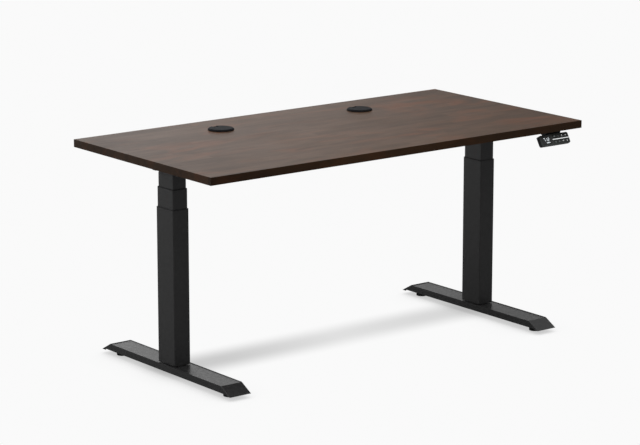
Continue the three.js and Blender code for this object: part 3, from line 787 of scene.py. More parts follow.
def tube_rings(low, high, outline, wall, edge, plate=0.0):
    """Rings of a straight tube with walls and softened mouths: up the outside, over and down inside.

    With a plate the inside ends on it, so that the skin closes at both ends; without one the last
    ring joins the first.
    """
    rings = [flat_ring(inset(outline, edge), low), flat_ring(outline, low + edge),
             flat_ring(outline, high - edge), flat_ring(inset(outline, edge), high),
             flat_ring(inset(outline, wall - edge), high), flat_ring(inset(outline, wall), high - edge),
             flat_ring(inset(outline, wall), low + (plate or edge))]
    if not plate:
        rings += [flat_ring(inset(outline, wall - edge), low)]
    return np.array(rings)


def hexagon(across):
    """Outline of a hexagon by its width across flats, with the points of a circle."""
    a = np.linspace(0, 2 * np.pi, ROUND, endpoint=False)
    r = across / 2 / np.cos(np.mod(a, np.pi / 3) - np.pi / 6)
    return np.stack([r * np.cos(a), r * np.sin(a)], -1)


def socket_head(radius, height, key):
    """Rings of a cap screw's head, standing on z = 0, with a hexagon socket sunk in its top."""
    ring = circle(radius)
    drive = hexagon(key)
    edge = radius * 0.1
    rings = [flat_ring(ring, 0), flat_ring(ring, height - edge)]
    rings += [flat_ring(inset(ring, i), height - edge + d) for i, d in rounding(edge, 3)[1:]]
    rings += [flat_ring(drive, height), flat_ring(drive, height * 0.45),
              flat_ring(drive * 0.15, height * 0.4)]
    return np.array(rings)


def cross_head(radius, height):
    """Rings of a pan-head screw, standing on z = 0, with a cross recess: the recess's outline is the
    radius times a wave with four lobes."""
    a = np.linspace(0, 2 * np.pi, ROUND, endpoint=False)
    lobes = radius * (0.16 + 0.38 * np.clip(np.cos(4 * a) * 2.2 - 1.0, 0, 1))
    recess = np.stack([lobes * np.cos(a), lobes * np.sin(a)], -1)
    ring = circle(radius)
    dome = [flat_ring(ring * math.cos(t), height * (0.35 + 0.65 * math.sin(t)))
            for t in np.linspace(0, 0.9, 5)]
    top = dome[-1][0, 2]
    return np.array([flat_ring(ring, 0), *dome, flat_ring(recess, top), flat_ring(recess * 0.6, top * 0.4)])


def washer(radius, hole, height):
    """Rings of a washer on z = 0, closed on itself."""
    soft = height * 0.2
    return turned_rings([(hole, 0), (radius, 0), (radius, height - soft), (radius - soft, height),
                         (hole, height)])


def downwards(at):
    """Matrix that turns a shape standing on z = 0 so that it hangs down at a place."""
    return Matrix.Translation(at) @ Matrix.Rotation(math.pi, 4, "X")


# ---------------------------------------------------------------- the top
class DESK_OT_top(Operator):
    """The board with its two holes, and the strips on its four edges"""

    bl_idname = "desk.build_top"
    bl_label = "Board and edging"

    def execute(self, context):
        sizes = context.scene.desk_sizes
        low, high = span("desktop")
        band = sizes.edge_band
        centre = (low + high) / 2
        width, depth = (high - low)[:2]
        inner = rounded_rectangle(width - 2 * band, depth - 2 * band, 0.0004, 2)
        holes = [circle(BOARD_HOLE, 72) + middle(f"{side}_grommet_liner")[:2] - centre[:2]
                 for side in SIDES]
        verts, faces = perforated(inner, holes, low[2], high[2], 0.00025, 2)
        verts[:, :2] += centre[:2]
        board = make_piece("desktop_board", verts, faces, "walnut")
        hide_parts("desktop")
        profile = rounded_rectangle(band, high[2] - low[2], 0.00035, 4)
        for name, axis, sign in (("front", 0, -1), ("rear", 0, 1), ("left", 1, -1), ("right", 1, 1)):
            half = (width if axis == 0 else depth - 2 * band) / 2
            across = sign * ((depth if axis == 0 else width) - band) / 2
            rings = []
            for end in (-half, half):
                points = np.zeros((len(profile), 3))
                points[:, axis] = centre[axis] + end
                points[:, 1 - axis] = centre[1 - axis] + across + profile[:, 0]
                points[:, 2] = centre[2] + profile[:, 1]
                rings.append(points)
            piece = add_loft(f"{name}_edging", rings, "edging")
            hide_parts("desktop")
        return {"FINISHED"}


class DESK_OT_grommets(Operator):
    """Cable grommets: a liner with a rolled flange, and a loose cap with a cable notch"""

    bl_idname = "desk.build_grommets"
    bl_label = "Cable grommets"

    def execute(self, context):
        for side in SIDES:
            low, high = span(f"{side}_grommet_liner")
            place = over(f"{side}_grommet_liner")
            flange, roll = (high[0] - low[0]) / 2, 0.0018
            z0, z1 = low[2], high[2] + GROMMET_LIFT
            seat = high[2] - 0.0027
            rolled = [(flange - roll * (1 - math.cos(t)), z1 - roll + roll * math.sin(t))
                      for t in np.linspace(0, math.pi / 2, 6)]
            profile = [(LINER_BORE, z0), (LINER_SLEEVE, z0), (LINER_SLEEVE, seat), (flange - 0.0004, seat),
                       (flange, seat + 0.0004), *rolled, (LINER_BORE + 0.0006, z1),
                       (LINER_BORE, z1 - 0.0006)]
            rings = moved(turned_rings(profile, 96), place)
            liner = add_loft(f"{side}_grommet_ring", rings, "nylon", ring_closed=True)
            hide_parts(f"{side}_grommet_liner")
            low, high = span(f"{side}_grommet_cap")
            lip = (high[0] - low[0]) / 2
            base = z1 + 0.0003
            shapes = [slab_rings(self.notched(lip), base, high[2] + GROMMET_LIFT, 0.0007, 4),
                      slab_rings(self.notched(LINER_BORE - 0.0007), low[2], base, 0.0003, 2)]
            shapes = [moved(shape, place) for shape in shapes]
            cap = add_group(f"{side}_grommet_lid", shapes, "nylon", f"{side}_cap")
            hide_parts(f"{side}_grommet_cap")
        return {"FINISHED"}

    @staticmethod
    def notched(radius):
        """Outline of a disc with a slot cut in from its +Y side, its inner corners rounded: the arc runs
        round from one side of the slot to the other, and two quarter circles close it."""
        start = math.asin(NOTCH_HALF / radius)
        a = np.pi / 2 + np.linspace(start, 2 * np.pi - start, 90)
        arc = radius * np.stack([np.cos(a), np.sin(a)], -1)
        soft = 0.004
        t = np.linspace(0, np.pi / 2, 7)
        corner = np.stack([NOTCH_HALF - soft + soft * np.cos(t), NOTCH_FLOOR + soft - soft * np.sin(t)], -1)
        return np.concatenate([arc, corner, (corner * (-1, 1))[::-1]])


# ---------------------------------------------------------------- legs
class DESK_OT_feet(Operator):
    """Folded feet with the weld nuts and column bolts inside them"""

    bl_idname = "desk.build_feet"
    bl_label = "Feet"

    def execute(self, context):
        bend = context.scene.desk_sizes.sheet_bend
        for side in SIDES:
            low, high = span(f"{side}_foot")
            width, length = (high - low)[:2]
            place = leg_place(side)

            def level(z, back, wall_in=0.0):
                """The foot's outline at a height, cut back for a rounded edge: its ends slope in, and a
                wall's thickness is measured square to the slope."""
                shrink = wall_in * math.hypot(1, FOOT_SLOPE)
                span_y = length - 2 * (z - low[2]) * FOOT_SLOPE - 2 * shrink
                outline = rounded_rectangle(width - 2 * wall_in, span_y, max(0.0022 - wall_in, 0.0004), 4)
                return flat_ring(inset(outline, back), z)

            roof = high[2] - FOOT_WALL
            rings = [level(roof, 0.0012, FOOT_WALL), level(roof - 0.0008, 0.0002, FOOT_WALL),
                     level(low[2], 0, FOOT_WALL), level(low[2], 0)]
            rings += [level(high[2] - bend + d, i) for i, d in rounding(bend, 5)]
            foot = add_loft(f"{side}_foot_channel", moved(rings, place), "coat", "base")
            gap = rounded_rectangle(0.1, 0.67, 0.003, 4)
            cut_away(foot, moved([flat_ring(gap, low[2] - 0.002), flat_ring(gap, low[2] + 0.004)], place))
            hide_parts(f"{side}_foot")
            nut = turned_rings([(0.0054, roof - 0.017), (0.0085, roof - 0.0172), (0.0085, roof + 0.0003),
                                (0.0054, roof + 0.0003)])
            nuts = [moved(nut, place @ Matrix.Translation((0, y, 0))) for y in (-0.295, 0.295)]
            add_group(f"{side}_weld_nuts", nuts, "coat", "base", ring_closed=True)
            bolts = [moved(socket_head(0.0065, 0.006, 0.006), place @ downwards((x, y, roof)))
                     for x in (-0.018, 0.018) for y in (-0.033, 0.033)]
            add_group(f"{side}_column_bolts", bolts, "black_bolt", "base")
        return {"FINISHED"}


class DESK_OT_glides(Operator):
    """Levelling glides: a rubber pad, a hexagon collar and a threaded stud"""

    bl_idname = "desk.build_glides"
    bl_label = "Levelling glides"

    def execute(self, context):
        for side in SIDES:
            for end in ("front", "rear"):
                node = f"{side}_{end}_glide"
                low, high = span(node)
                radius, soft = (high[0] - low[0]) / 2, 0.0015
                body = f"{side}_{end}_levelling_glide"
                sole = [(radius - soft + soft * math.sin(t), soft - soft * math.cos(t))
                        for t in np.linspace(0, math.pi / 2, 6)]
                ribs = [(radius, 0.003), (radius - 0.0006, 0.0035), (radius - 0.0006, 0.0042),
                        (radius, 0.0047), (radius, 0.0075)]
                crown = [(radius - 0.0006, 0.0088), (radius - 0.0035, 0.0112), (radius - 0.006, 0.012)]
                profile = [(0, 0.0006), (radius - 0.005, 0.0006), (radius - 0.0045, 0), *sole, *ribs,
                           *crown, (0.0105, 0.0129), (0, 0.0129)]
                pad = add_loft(f"{side}_{end}_glide_pad", moved(turned_rings(profile), over(node)),
                               "rubber", body)
                collar = slab_rings(hexagon(0.017), 0.0129, 0.0174, 0.0006, 3)
                stud = threaded(0.0049, 0.0006, 0.0015, 0.0174, high[2], 24, 8)
                parts = [moved(shape, over(node)) for shape in (collar, stud)]
                screw = add_group(f"{side}_{end}_glide_stud", parts, "steel", body)
                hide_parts(node)
                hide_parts(node)
        return {"FINISHED"}


class DESK_OT_columns(Operator):
    """Three telescoping tubes a leg, and the guide collars in their mouths"""

    bl_idname = "desk.build_columns"
    bl_label = "Columns"

    def execute(self, context):
        edge = context.scene.desk_sizes.tube_edge
        for side in SIDES:
            stages = {"outer": ("base", 0.0025, COLUMN_PLATE),
                      "middle": (f"{side}_middle", 0.0023, COLUMN_PLATE), "inner": ("upper", 0.0021, 0.0)}
            for stage, (body, corner, plate) in stages.items():
                node = f"{side}_{stage}_tube"
                low, high = span(node)
                outline = rounded_rectangle(*(high - low)[:2], corner, 8)
                rings = moved(tube_rings(low[2], high[2], outline, COLUMN_WALL, edge, plate), over(node))
                tube = add_loft(f"{side}_{stage}_column", rings, "coat", body, ring_closed=not plate)
                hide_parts(node)
                if stage == "middle":
                    hole = turned_rings([(0.007, low[2] - 0.001), (0.007, low[2] + plate + 0.001)])
                    cut_away(tube, moved(hole, over(node)))
            for stage, following in (("outer", "middle"), ("middle", "inner")):
                rings = self.collar(side, stage, stages[stage][1], following, stages[following][1])
                node = f"{side}_{stage}_collar"
                guide = add_loft(f"{side}_{stage}_guide", moved(rings, over(node)), "guide",
                                 stages[stage][0], ring_closed=True)
                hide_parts(node)
        return {"FINISHED"}

    @staticmethod
    def collar(side, stage, corner, following, next_corner):
        """Rings of a guide collar: a skirt inside one tube, a lip on its mouth, and an opening round the
        next tube."""
        low, high = span(f"{side}_{stage}_collar")
        low_tube, high_tube = span(f"{side}_{stage}_tube")
        low_next, high_next = span(f"{side}_{following}_tube")
        (w, d), (nw, nd) = (high_tube - low_tube)[:2], (high_next - low_next)[:2]
        back = 2 * (COLUMN_WALL + GUIDE_GAP)
        outline = rounded_rectangle(w, d, corner, 8)
        skirt = rounded_rectangle(w - back, d - back, corner - COLUMN_WALL, 8)
        opening = rounded_rectangle(nw + 2 * GUIDE_GAP, nd + 2 * GUIDE_GAP, next_corner + GUIDE_GAP, 8)
        lip = high[2] - 0.0014
        return [
            flat_ring(inset(skirt, 0.0003), low[2]), flat_ring(skirt, low[2] + 0.0005),
            flat_ring(skirt, lip), flat_ring(inset(outline, 0.0003), lip),
            flat_ring(outline, lip + 0.0003), flat_ring(outline, high[2] - 0.0005),
            flat_ring(inset(outline, 0.0005), high[2]), flat_ring(inset(opening, -0.0003), high[2]),
            flat_ring(opening, high[2] - 0.0003), flat_ring(opening, low[2] + 0.0003)]


class DESK_OT_lift(Operator):
    """The drive inside each leg: two lift screws, and finishes for the nut, worm wheel and spline tube"""

    bl_idname = "desk.build_lift"
    bl_label = "Lift drive"

    def execute(self, context):
        pitch = context.scene.desk_sizes.thread_pitch
        for side in SIDES:
            node = f"{side}_solid_screw"
            low, high = span(node)
            flange, r = (high[0] - low[0]) / 2, 0.005
            base = turned_rings([(flange - 0.0006, low[2]), (flange, low[2] + 0.0006),
                                 (flange, low[2] + 0.0034), (flange - 0.0006, low[2] + 0.004),
                                 (r, low[2] + 0.004)], 32)
            shank = threaded(r, 0.0009, pitch / 2, low[2] + 0.006, high[2] - 0.003, 32, 10)
            rings = np.concatenate([base, shank, turned_rings([(r - 0.002, high[2])], 32)])
            screw = add_loft(f"{side}_inner_lift_screw", moved(rings, over(node)), "screw", "base")
            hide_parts(node)
            low, high = span(f"{side}_hollow_screw")
            flange, r, bore = (high[0] - low[0]) / 2, 0.009, 0.0056
            base = turned_rings([(bore, low[2]), (flange, low[2]), (flange, low[2] + 0.0036),
                                 (flange - 0.0004, low[2] + 0.004), (r, low[2] + 0.004)], 32)
            shank = threaded(r, 0.0011, pitch, low[2] + 0.006, high[2] - 0.001, 32, 12)
            end = turned_rings([(r - 0.001, high[2]), (bore, high[2])], 32)
            rings = moved(np.concatenate([base, shank, end]), over(node))
            screw = add_loft(f"{side}_outer_lift_screw", rings, "screw", f"{side}_screw", ring_closed=True)
            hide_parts(f"{side}_hollow_screw")
            finish_node(f"{side}_travelling_nut", "bronze", 0.0006)
            finish_node(f"{side}_worm_wheel", "bronze", 0.0003)
            finish_node(f"{side}_spline_tube", "steel", 0.0004)
        return {"FINISHED"}


class DESK_OT_gearboxes(Operator):
    """Gear housings with their covers and screws, and the motors with their worms"""

    bl_idname = "desk.build_gearboxes"
    bl_label = "Gearboxes and motors"

    def execute(self, context):
        for side in SIDES:
            place = leg_place(side)
            finish_node(f"{side}_gearbox", "cast", 0.0008)
            low, high = span(f"{side}_motor")
            radius = (high[2] - low[2]) / 2
            face, end = MOTOR_FACE, MOTOR_END
            can = [(0, face), (radius - 0.001, face), (radius, face + 0.001), (radius, face + 0.009),
                   (radius - 0.0006, face + 0.0096), (radius - 0.0006, face + 0.0104),
                   (radius, face + 0.011),
                   (radius, end - 0.022), (radius - 0.0008, end - 0.0214), (radius - 0.0008, end - 0.0206),
                   (radius, end - 0.020), (radius, end - 0.006)]
            can += [(radius - 0.005 * (1 - math.cos(t)), end - 0.006 + 0.005 * math.sin(t))
                    for t in np.linspace(0.2, math.pi / 2, 6)]
            can += [(0.0085, end - 0.001), (0.008, end), (0, end)]
            axis = place @ along_x((0, SHAFT_Y, SHAFT_Z))
            motor = add_loft(f"{side}_motor_can", moved(turned_rings(can, 64), axis), "enamel")
            worm = np.concatenate([turned_rings([(0.003, -0.016), (0.003, -0.0131)], 24),
                                   threaded(0.0055, 0.0015, 0.0065, -0.013, 0.013, 24, 14),
                                   turned_rings([(0.003, 0.0131), (0.003, face)], 24)])
            worm = add_loft(f"{side}_worm", moved(worm, axis), "steel")
            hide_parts(f"{side}_motor")
            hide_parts(f"{side}_motor")
            cover = slab_rings(rounded_rectangle(0.050, 0.066, 0.006), 0, 0.0014, 0.0005, 3)
            hub = turned_rings([(0.0145, 0.0014), (0.0145, 0.0026), (0.0139, 0.0032), (0.006, 0.0032),
                                (0.005, 0.002), (0, 0.002)])
            under = place @ downwards((0, 0, GEARBOX_UNDER))
            parts = [moved(shape, under) for shape in (cover, hub)]
            add_group(f"{side}_gearbox_cover", parts, "cast")
            screws = [moved(cross_head(0.003, 0.002), place @ downwards((x, y, GEARBOX_UNDER - 0.0014)))
                      for x in (-0.019, 0.019) for y in (-0.027, 0.027)]
            screws += [moved(socket_head(0.0026, 0.003, 0.0025),
                             place @ along_x((GEARBOX_FACE, SHAFT_Y - 0.0335, z)))
                       for z in (SHAFT_Z, SHAFT_Z + 0.007)]
            add_group(f"{side}_gearbox_screws", screws, "steel")
        return {"FINISHED"}


# ---------------------------------------------------------------- crossbar and brackets
class DESK_OT_crossbar(Operator):
    """The two rails, the end frames that slide into them, and their clamp screws"""

    bl_idname = "desk.build_crossbar"
    bl_label = "Crossbar"

    def execute(self, context):
        for name in ("front", "rear"):
            low, high = span(f"{name}_rail")
            at = (low + high) / 2
            section = rounded_rectangle(high[1] - low[1], high[2] - low[2], 0.0028, 6)
            rings = tube_rings(low[0], high[0], section, RAIL_WALL, RAIL_EDGE)
            rings = moved(rings, along_x((0, at[1], at[2])))
            rail = add_loft(f"{name}_rail_tube", rings, "coat", ring_closed=True)
            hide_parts(f"{name}_rail")
        for side in SIDES:
            place = leg_place(side)
            section = rounded_rectangle(0.0203, ARM_TOP - ARM_BOTTOM, 0.002, 6)
            parts = [moved(tube_rings(-0.025, 0.400, section, RAIL_WALL, RAIL_EDGE),
                           place @ along_x((0, y, (ARM_TOP + ARM_BOTTOM) / 2))) for y in (-RAIL_Y, RAIL_Y)]
            arms = add_group(f"{side}_frame_arms", parts, "coat", ring_closed=True)
            plate_outline = rounded_rectangle(0.0645, 0.1036, 0.0006, 3) + np.array((0.00725, 0))
            opening = circle(0.016, 40)
            verts, faces = perforated(plate_outline, [opening], ARM_TOP - 0.003, ARM_TOP, 0.0003, 2)
            plate = make_piece(f"{side}_frame_plate", moved(verts, place), faces, "coat")
            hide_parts(f"{side}_end_frame")
            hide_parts(f"{side}_end_frame")
            x = np.linspace(-0.024, 0.0385, 90)
            ripple = 0.0011 + 0.00022 * np.sin(np.linspace(0, 60, 90))
            beads = []
            for y in (-0.0518, 0.0518):
                path = np.stack([x, np.full(90, y), np.full(90, ARM_TOP - 0.0032)], -1)
                beads.append(moved(swept(path, ripple, 10), place))
            add_group(f"{side}_frame_welds", beads, "coat")
            screws = [moved(socket_head(0.005, 0.0028, 0.004), place @ downwards((along, y, 0.649)))
                      for y in (-RAIL_Y, RAIL_Y) for along in (0.225, 0.265)]
            add_group(f"{side}_clamp_screws", screws, "black_bolt")
        return {"FINISHED"}


class DESK_OT_brackets(Operator):
    """Side brackets bent from sheet, and the wood screws that hold the board to them"""

    bl_idname = "desk.build_brackets"
    bl_label = "Side brackets"

    def execute(self, context):
        sheet, bend = BRACKET_SHEET, BRACKET_BEND
        for side in SIDES:
            low, high = span(f"{side}_side_bracket")
            place = leg_place(side)
            half = (high[0] - low[0]) / 2
            end = (high[1] - low[1]) / 2
            top = high[2]
            t = np.linspace(0, np.pi / 2, 6)

            def section(bottom, y):
                """A channel's section at y, from one flange's foot up over the web and down the other
                flange, then back inside; the bends are quarter circles."""
                outer = np.stack([-half + bend - bend * np.cos(t), top - bend + bend * np.sin(t)], -1)
                small = bend - sheet
                inner = np.stack([-half + bend - small * np.cos(t), top - bend + small * np.sin(t)], -1)
                left_out = np.concatenate([[[-half, bottom]], outer])
                left_in = np.concatenate([[[-half + sheet, bottom]], inner])
                flip = np.array((-1, 1))
                path = np.concatenate([left_out, (left_out * flip)[::-1], left_in * flip, left_in[::-1]])
                return np.column_stack([path[:, 0], np.full(len(path), y), path[:, 1]])

            seat = BRACKET_SEAT
            stations = [(0.6825, -end), (0.682, -end + 0.001), (0.671, -0.084), (seat, -0.080),
                        (seat, 0.080), (0.671, 0.084), (0.682, end - 0.001), (0.6825, end)]
            rings = [section(z, y) for z, y in stations]
            bracket = add_loft(f"{side}_bracket_channel", moved(rings, place), "coat")
            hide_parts(f"{side}_side_bracket")
            screws, washers = [], []
            for y in (-0.262, -0.19, -0.115, 0.115, 0.19, 0.262):
                for x in ((-0.012, 0.012) if abs(y) > 0.25 else (0.0,)):
                    hang = place @ downwards((x, y, top - sheet))
                    washers.append(moved(washer(0.0065, 0.0027, 0.001), hang))
                    seated = hang @ Matrix.Translation((0, 0, 0.001))
                    screws.append(moved(cross_head(0.0045, 0.0026), seated))
            add_group(f"{side}_wood_screws", screws, "steel")
            add_group(f"{side}_screw_washers", washers, "steel", ring_closed=True)
        return {"FINISHED"}


# ---------------------------------------------------------------- control box and leads
class DESK_OT_control_box(Operator):
    """The control box: case, lid, board with its components, and the mains inlet"""

    bl_idname = "desk.build_control_box"
    bl_label = "Control box"

    def execute(self, context):
        for node, finish, edge in (("control_case", "case", 0.0007), ("control_lid", "coat", 0.0005),
                                   ("mains_inlet", "nylon", 0.0004), ("control_board", "circuit", 0.0002)):
            finish_node(node, finish, edge)
        low, high = span("control_lid")
        screws = [moved(cross_head(0.0035, 0.0022), downwards((x, y, low[2])))
                  for x in (low[0] + 0.0075, high[0] - 0.0075) for y in (low[1] + 0.012, high[1] - 0.012)]
        add_group("control_lid_screws", screws, "steel")
        face, at = span("mains_inlet")[1][0], middle("mains_inlet")
        blade = slab_rings(rounded_rectangle(0.002, 0.0055, 0.0006, 3), 0, 0.013, 0.0004, 2)
        places = [(face - 0.015, at[1] + y, at[2] + z)
                  for y, z in ((-0.007, -0.002), (0.007, -0.002), (0, 0.003))]
        blades = [moved(blade, along_x(p)) for p in places]
        add_group("inlet_blades", blades, "brass")
        self.components()
        self.vents()
        return {"FINISHED"}

    @staticmethod
    def components():
        """Parts standing on the control board, drawn as turned and slab shapes."""
        _, board = span("control_board")
        top = board[2]
        cans = [turned_rings([(0.0055, top), (0.006, top + 0.0005), (0.006, top + h - 0.001),
                              (0.0055, top + h), (0, top + h)], 32) for h in (0.016, 0.016, 0.012)]
        at = ((-0.060, 0.215, 0), (-0.044, 0.215, 0), (-0.060, 0.198, 0))
        add_group("board_capacitors", [moved(c, p) for c, p in zip(cans, at)], "capacitor")
        blocks = [((0.030, 0.024), (0.020, 0.215), 0.018), ((0.016, 0.012), (0.055, 0.190), 0.010),
                  ((0.014, 0.014), (-0.010, 0.185), 0.003), ((0.024, 0.010), (-0.070, 0.172), 0.008),
                  ((0.024, 0.010), (0.000, 0.166), 0.008), ((0.024, 0.010), (0.066, 0.166), 0.008)]
        shapes = [moved(slab_rings(rounded_rectangle(*size, 0.001, 3), top, top + h, 0.0006, 2), (*p, 0))
                  for size, p, h in blocks]
        add_group("board_parts", shapes, "component")

    @staticmethod
    def vents():
        """A row of raised ribs on the underside of the case."""
        low, high = span("control_case")
        ribs = [moved(slab_rings(rounded_rectangle(0.003, 0.050, 0.0014, 4), 0, 0.0012, 0.0005, 2),
                      downwards((x, (low[1] + high[1]) / 2, low[2])))
                for x in np.linspace(-0.045, 0.045, 10)]
        add_group("case_ribs", ribs, "case")


def lead_path(route, bend=0.018, steps=10):
    """Points along straight runs joined by bends: each bend is a quadratic curve from one bend length
    before its corner to one after it."""
    corners = np.array(route, float) * MM
    points = [corners[:1]]
    for before, corner, after in zip(corners[:-2], corners[1:-1], corners[2:]):
        into, out = np.linalg.norm(corner - before), np.linalg.norm(after - corner)
        reach = min(bend, into / 2, out / 2)
        entry = corner + (before - corner) * reach / into
        leave = corner + (after - corner) * reach / out
        t = np.linspace(0, 1, steps)[:, None]
        points.append((1 - t) ** 2 * entry + 2 * t * (1 - t) * corner + t * t * leave)
    points.append(corners[-1:])
    path = np.concatenate(points)
    keep = np.r_[True, np.linalg.norm(np.diff(path, axis=0), axis=1) > 1e-5]
    return path[keep]


class DESK_OT_leads(Operator):
    """Leads held up under the top, with their plugs, strain reliefs and clips"""

    bl_idname = "desk.build_leads"
    bl_label = "Leads and clips"

    def execute(self, context):
        up = 684.4
        routes = {
            "left_motor_lead": [(-495.4, 21.5, 663), (-471.4, 21.5, 663), (-443.4, 24, up), (-400, 36, up),
                                (-160, 116, up), (-100, 118, up), (-70, 122, 668), (-70, 154, 668)],
            "right_motor_lead": [(495.4, -21.5, 663), (471.4, -21.5, 663), (443.4, -16, up), (400, 0, up),
                                 (160, 116, up), (100, 118, up), (70, 122, 668), (70, 154, 668)],
            "handset_lead": [(0, 154, 668), (0, 126, 668), (14, 104, up), (60, 60, up), (420, -150, up),
                             (581, -258, up), (595, -288, 682.5), (595, -303, 682.5)],
        }
        for node, route in routes.items():
            path = lead_path(route)
            lead = add_loft(f"{node}_sheath", swept(path, LEAD_RADIUS, 16), "sheath")
            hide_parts(node)
            if node != "handset_lead":
                relief = turned_rings([(LEAD_RADIUS, 0), (0.0048, 0), (0.0048, 0.004), (0.0040, 0.0045),
                                       (0.0040, 0.006), (0.0044, 0.0065), (0.0038, 0.010), (0.0034, 0.0105),
                                       (0.0031, 0.014), (LEAD_RADIUS, 0.0145)], 32)
                facing = 0.0 if path[0, 0] < 0 else math.pi
                turn = Matrix.Translation(path[0]) @ Matrix.Rotation(facing, 4, "Z") @ along_x()
                add_loft(f"{node}_relief", moved(relief, turn), "rubber")
        plug = slab_rings(rounded_rectangle(0.011, 0.009, 0.0015, 4), 0, 0.014, 0.0008, 3)
        plugs = [moved(plug, axes_matrix((1, 0, 0), (0, 0, 1), (0, 1, 0), (x, PLUG_Y, PLUG_Z)))
                 for x in (-0.07, 0.0, 0.07)]
        add_group("lead_plugs", plugs, "nylon")
        clip = self.clip()
        turn = math.pi / 2
        clips = [moved(clip, Matrix.Translation((x, y, CLIP_Z)) @ Matrix.Rotation(along + turn, 4, "Z"))
                 for x, y, along in ((-0.28, 0.076, 0.32), (-0.34, 0.056, 0.32), (0.28, 0.058, -0.45),
                                     (0.34, 0.0290, -0.45), (0.20, -0.0217, -0.53), (0.30, -0.0800, -0.53),
                                     (0.39, -0.1325, -0.53), (0.50, -0.2054, -0.6))]
        add_group("lead_clips", clips, "nylon")
        return {"FINISHED"}

    @staticmethod
    def clip():
        """Rings of a saddle clip: a strip that goes over the lead in a half circle, between two flat feet,
        carried along the lead."""
        arch = np.linspace(0, np.pi, 16)
        outer = np.stack([0.0036 * np.cos(arch), -0.0036 * np.sin(arch)], -1)
        inner = np.stack([0.0026 * np.cos(arch), -0.0026 * np.sin(arch)], -1)[::-1]
        foot_right = np.array([[0.0085, 0.0], [0.0085, -0.0012], [0.0036, -0.0012]])
        foot_left = np.array([[-0.0036, -0.0012], [-0.0085, -0.0012], [-0.0085, 0.0]])
        outline = np.concatenate([foot_right, outer[2:-2], foot_left, [[-0.0026, 0.0]], inner[1:-1],
                                  [[0.0026, 0.0]]])
        return np.array([np.column_stack([outline[:, 0], np.full(len(outline), w), outline[:, 1]])
                         for w in (-0.004, 0.004)])


# ---------------------------------------------------------------- handset
SEGMENTS = {
    "0": "abcdef", "1": "bc", "2": "abged", "3": "abgcd", "4": "fgbc", "5": "afgcd", "6": "afgedc",
    "7": "abc", "8": "abcdefg", "9": "abcdfg"}


def digit_bars(text, height, thickness, x, y):
    """Outlines of the bars of seven-segment digits, the first one's middle at x, y: each bar is a long
    hexagon."""
    half, pen = height / 4 - thickness * 0.18, thickness / 2
    bar = np.array([(half, 0), (half - pen, pen), (-half + pen, pen),
                    (-half, 0), (-half + pen, -pen), (half - pen, -pen)])
    upright = bar[:, ::-1] * (1, -1)
    q = height / 4
    spots = {"a": (bar, 0, 2 * q), "g": (bar, 0, 0), "d": (bar, 0, -2 * q), "b": (upright, q, q),
             "c": (upright, q, -q), "f": (upright, -q, q), "e": (upright, -q, -q)}
    bars = []
    for character in text:
        if character == ".":
            dot = circle(thickness * 0.62, 6)
            bars.append(dot + (x - height * 0.36, y - 2 * q))
            x += height * 0.12
            continue
        for key in SEGMENTS[character]:
            outline, dx, dy = spots[key]
            bars.append(outline + (x + dx, y + dy))
        x += height * 0.78
    return bars


def stroke(points, width):
    """Outline of a line drawn through points with a flat pen, as a polygon."""
    p = np.array(points, float)
    d = np.gradient(p, axis=0)
    n = np.stack([-d[:, 1], d[:, 0]], -1)
    n /= np.linalg.norm(n, axis=1, keepdims=True)
    return np.concatenate([p + n * width / 2, (p - n * width / 2)[::-1]])


def ring_stroke(radius, width, end):
    """Outline of an arc from angle 0 to its end, drawn with a flat pen."""
    a = np.linspace(0.0, end, 28)
    return stroke(np.stack([radius * np.cos(a), radius * np.sin(a)], -1), width)


def key_icon(name):
    """Outlines of the mark on a key, centred on the key."""
    w = 0.00055
    if name in ("1", "2", "3", "4"):
        return digit_bars(name, 0.0046, 0.0006, 0.0, 0.0)
    if name == "up":
        return [stroke([(-0.0021, -0.0009), (0, 0.0013), (0.0021, -0.0009)], 0.0008)]
    if name == "down":
        return [stroke([(-0.0021, 0.0009), (0, -0.0013), (0.0021, 0.0009)], 0.0008)]
    if name == "timer":
        return [ring_stroke(0.0021, w, 2 * math.pi - 0.12), stroke([(0, 0.0013), (0, 0.0)], w),
                stroke([(0.0001, 0.0), (0.0011, -0.0004)], w)]
    return [stroke([(-0.0021, y), (0.0021, y)], w) for y in (-0.0014, 0.0, 0.0014)]


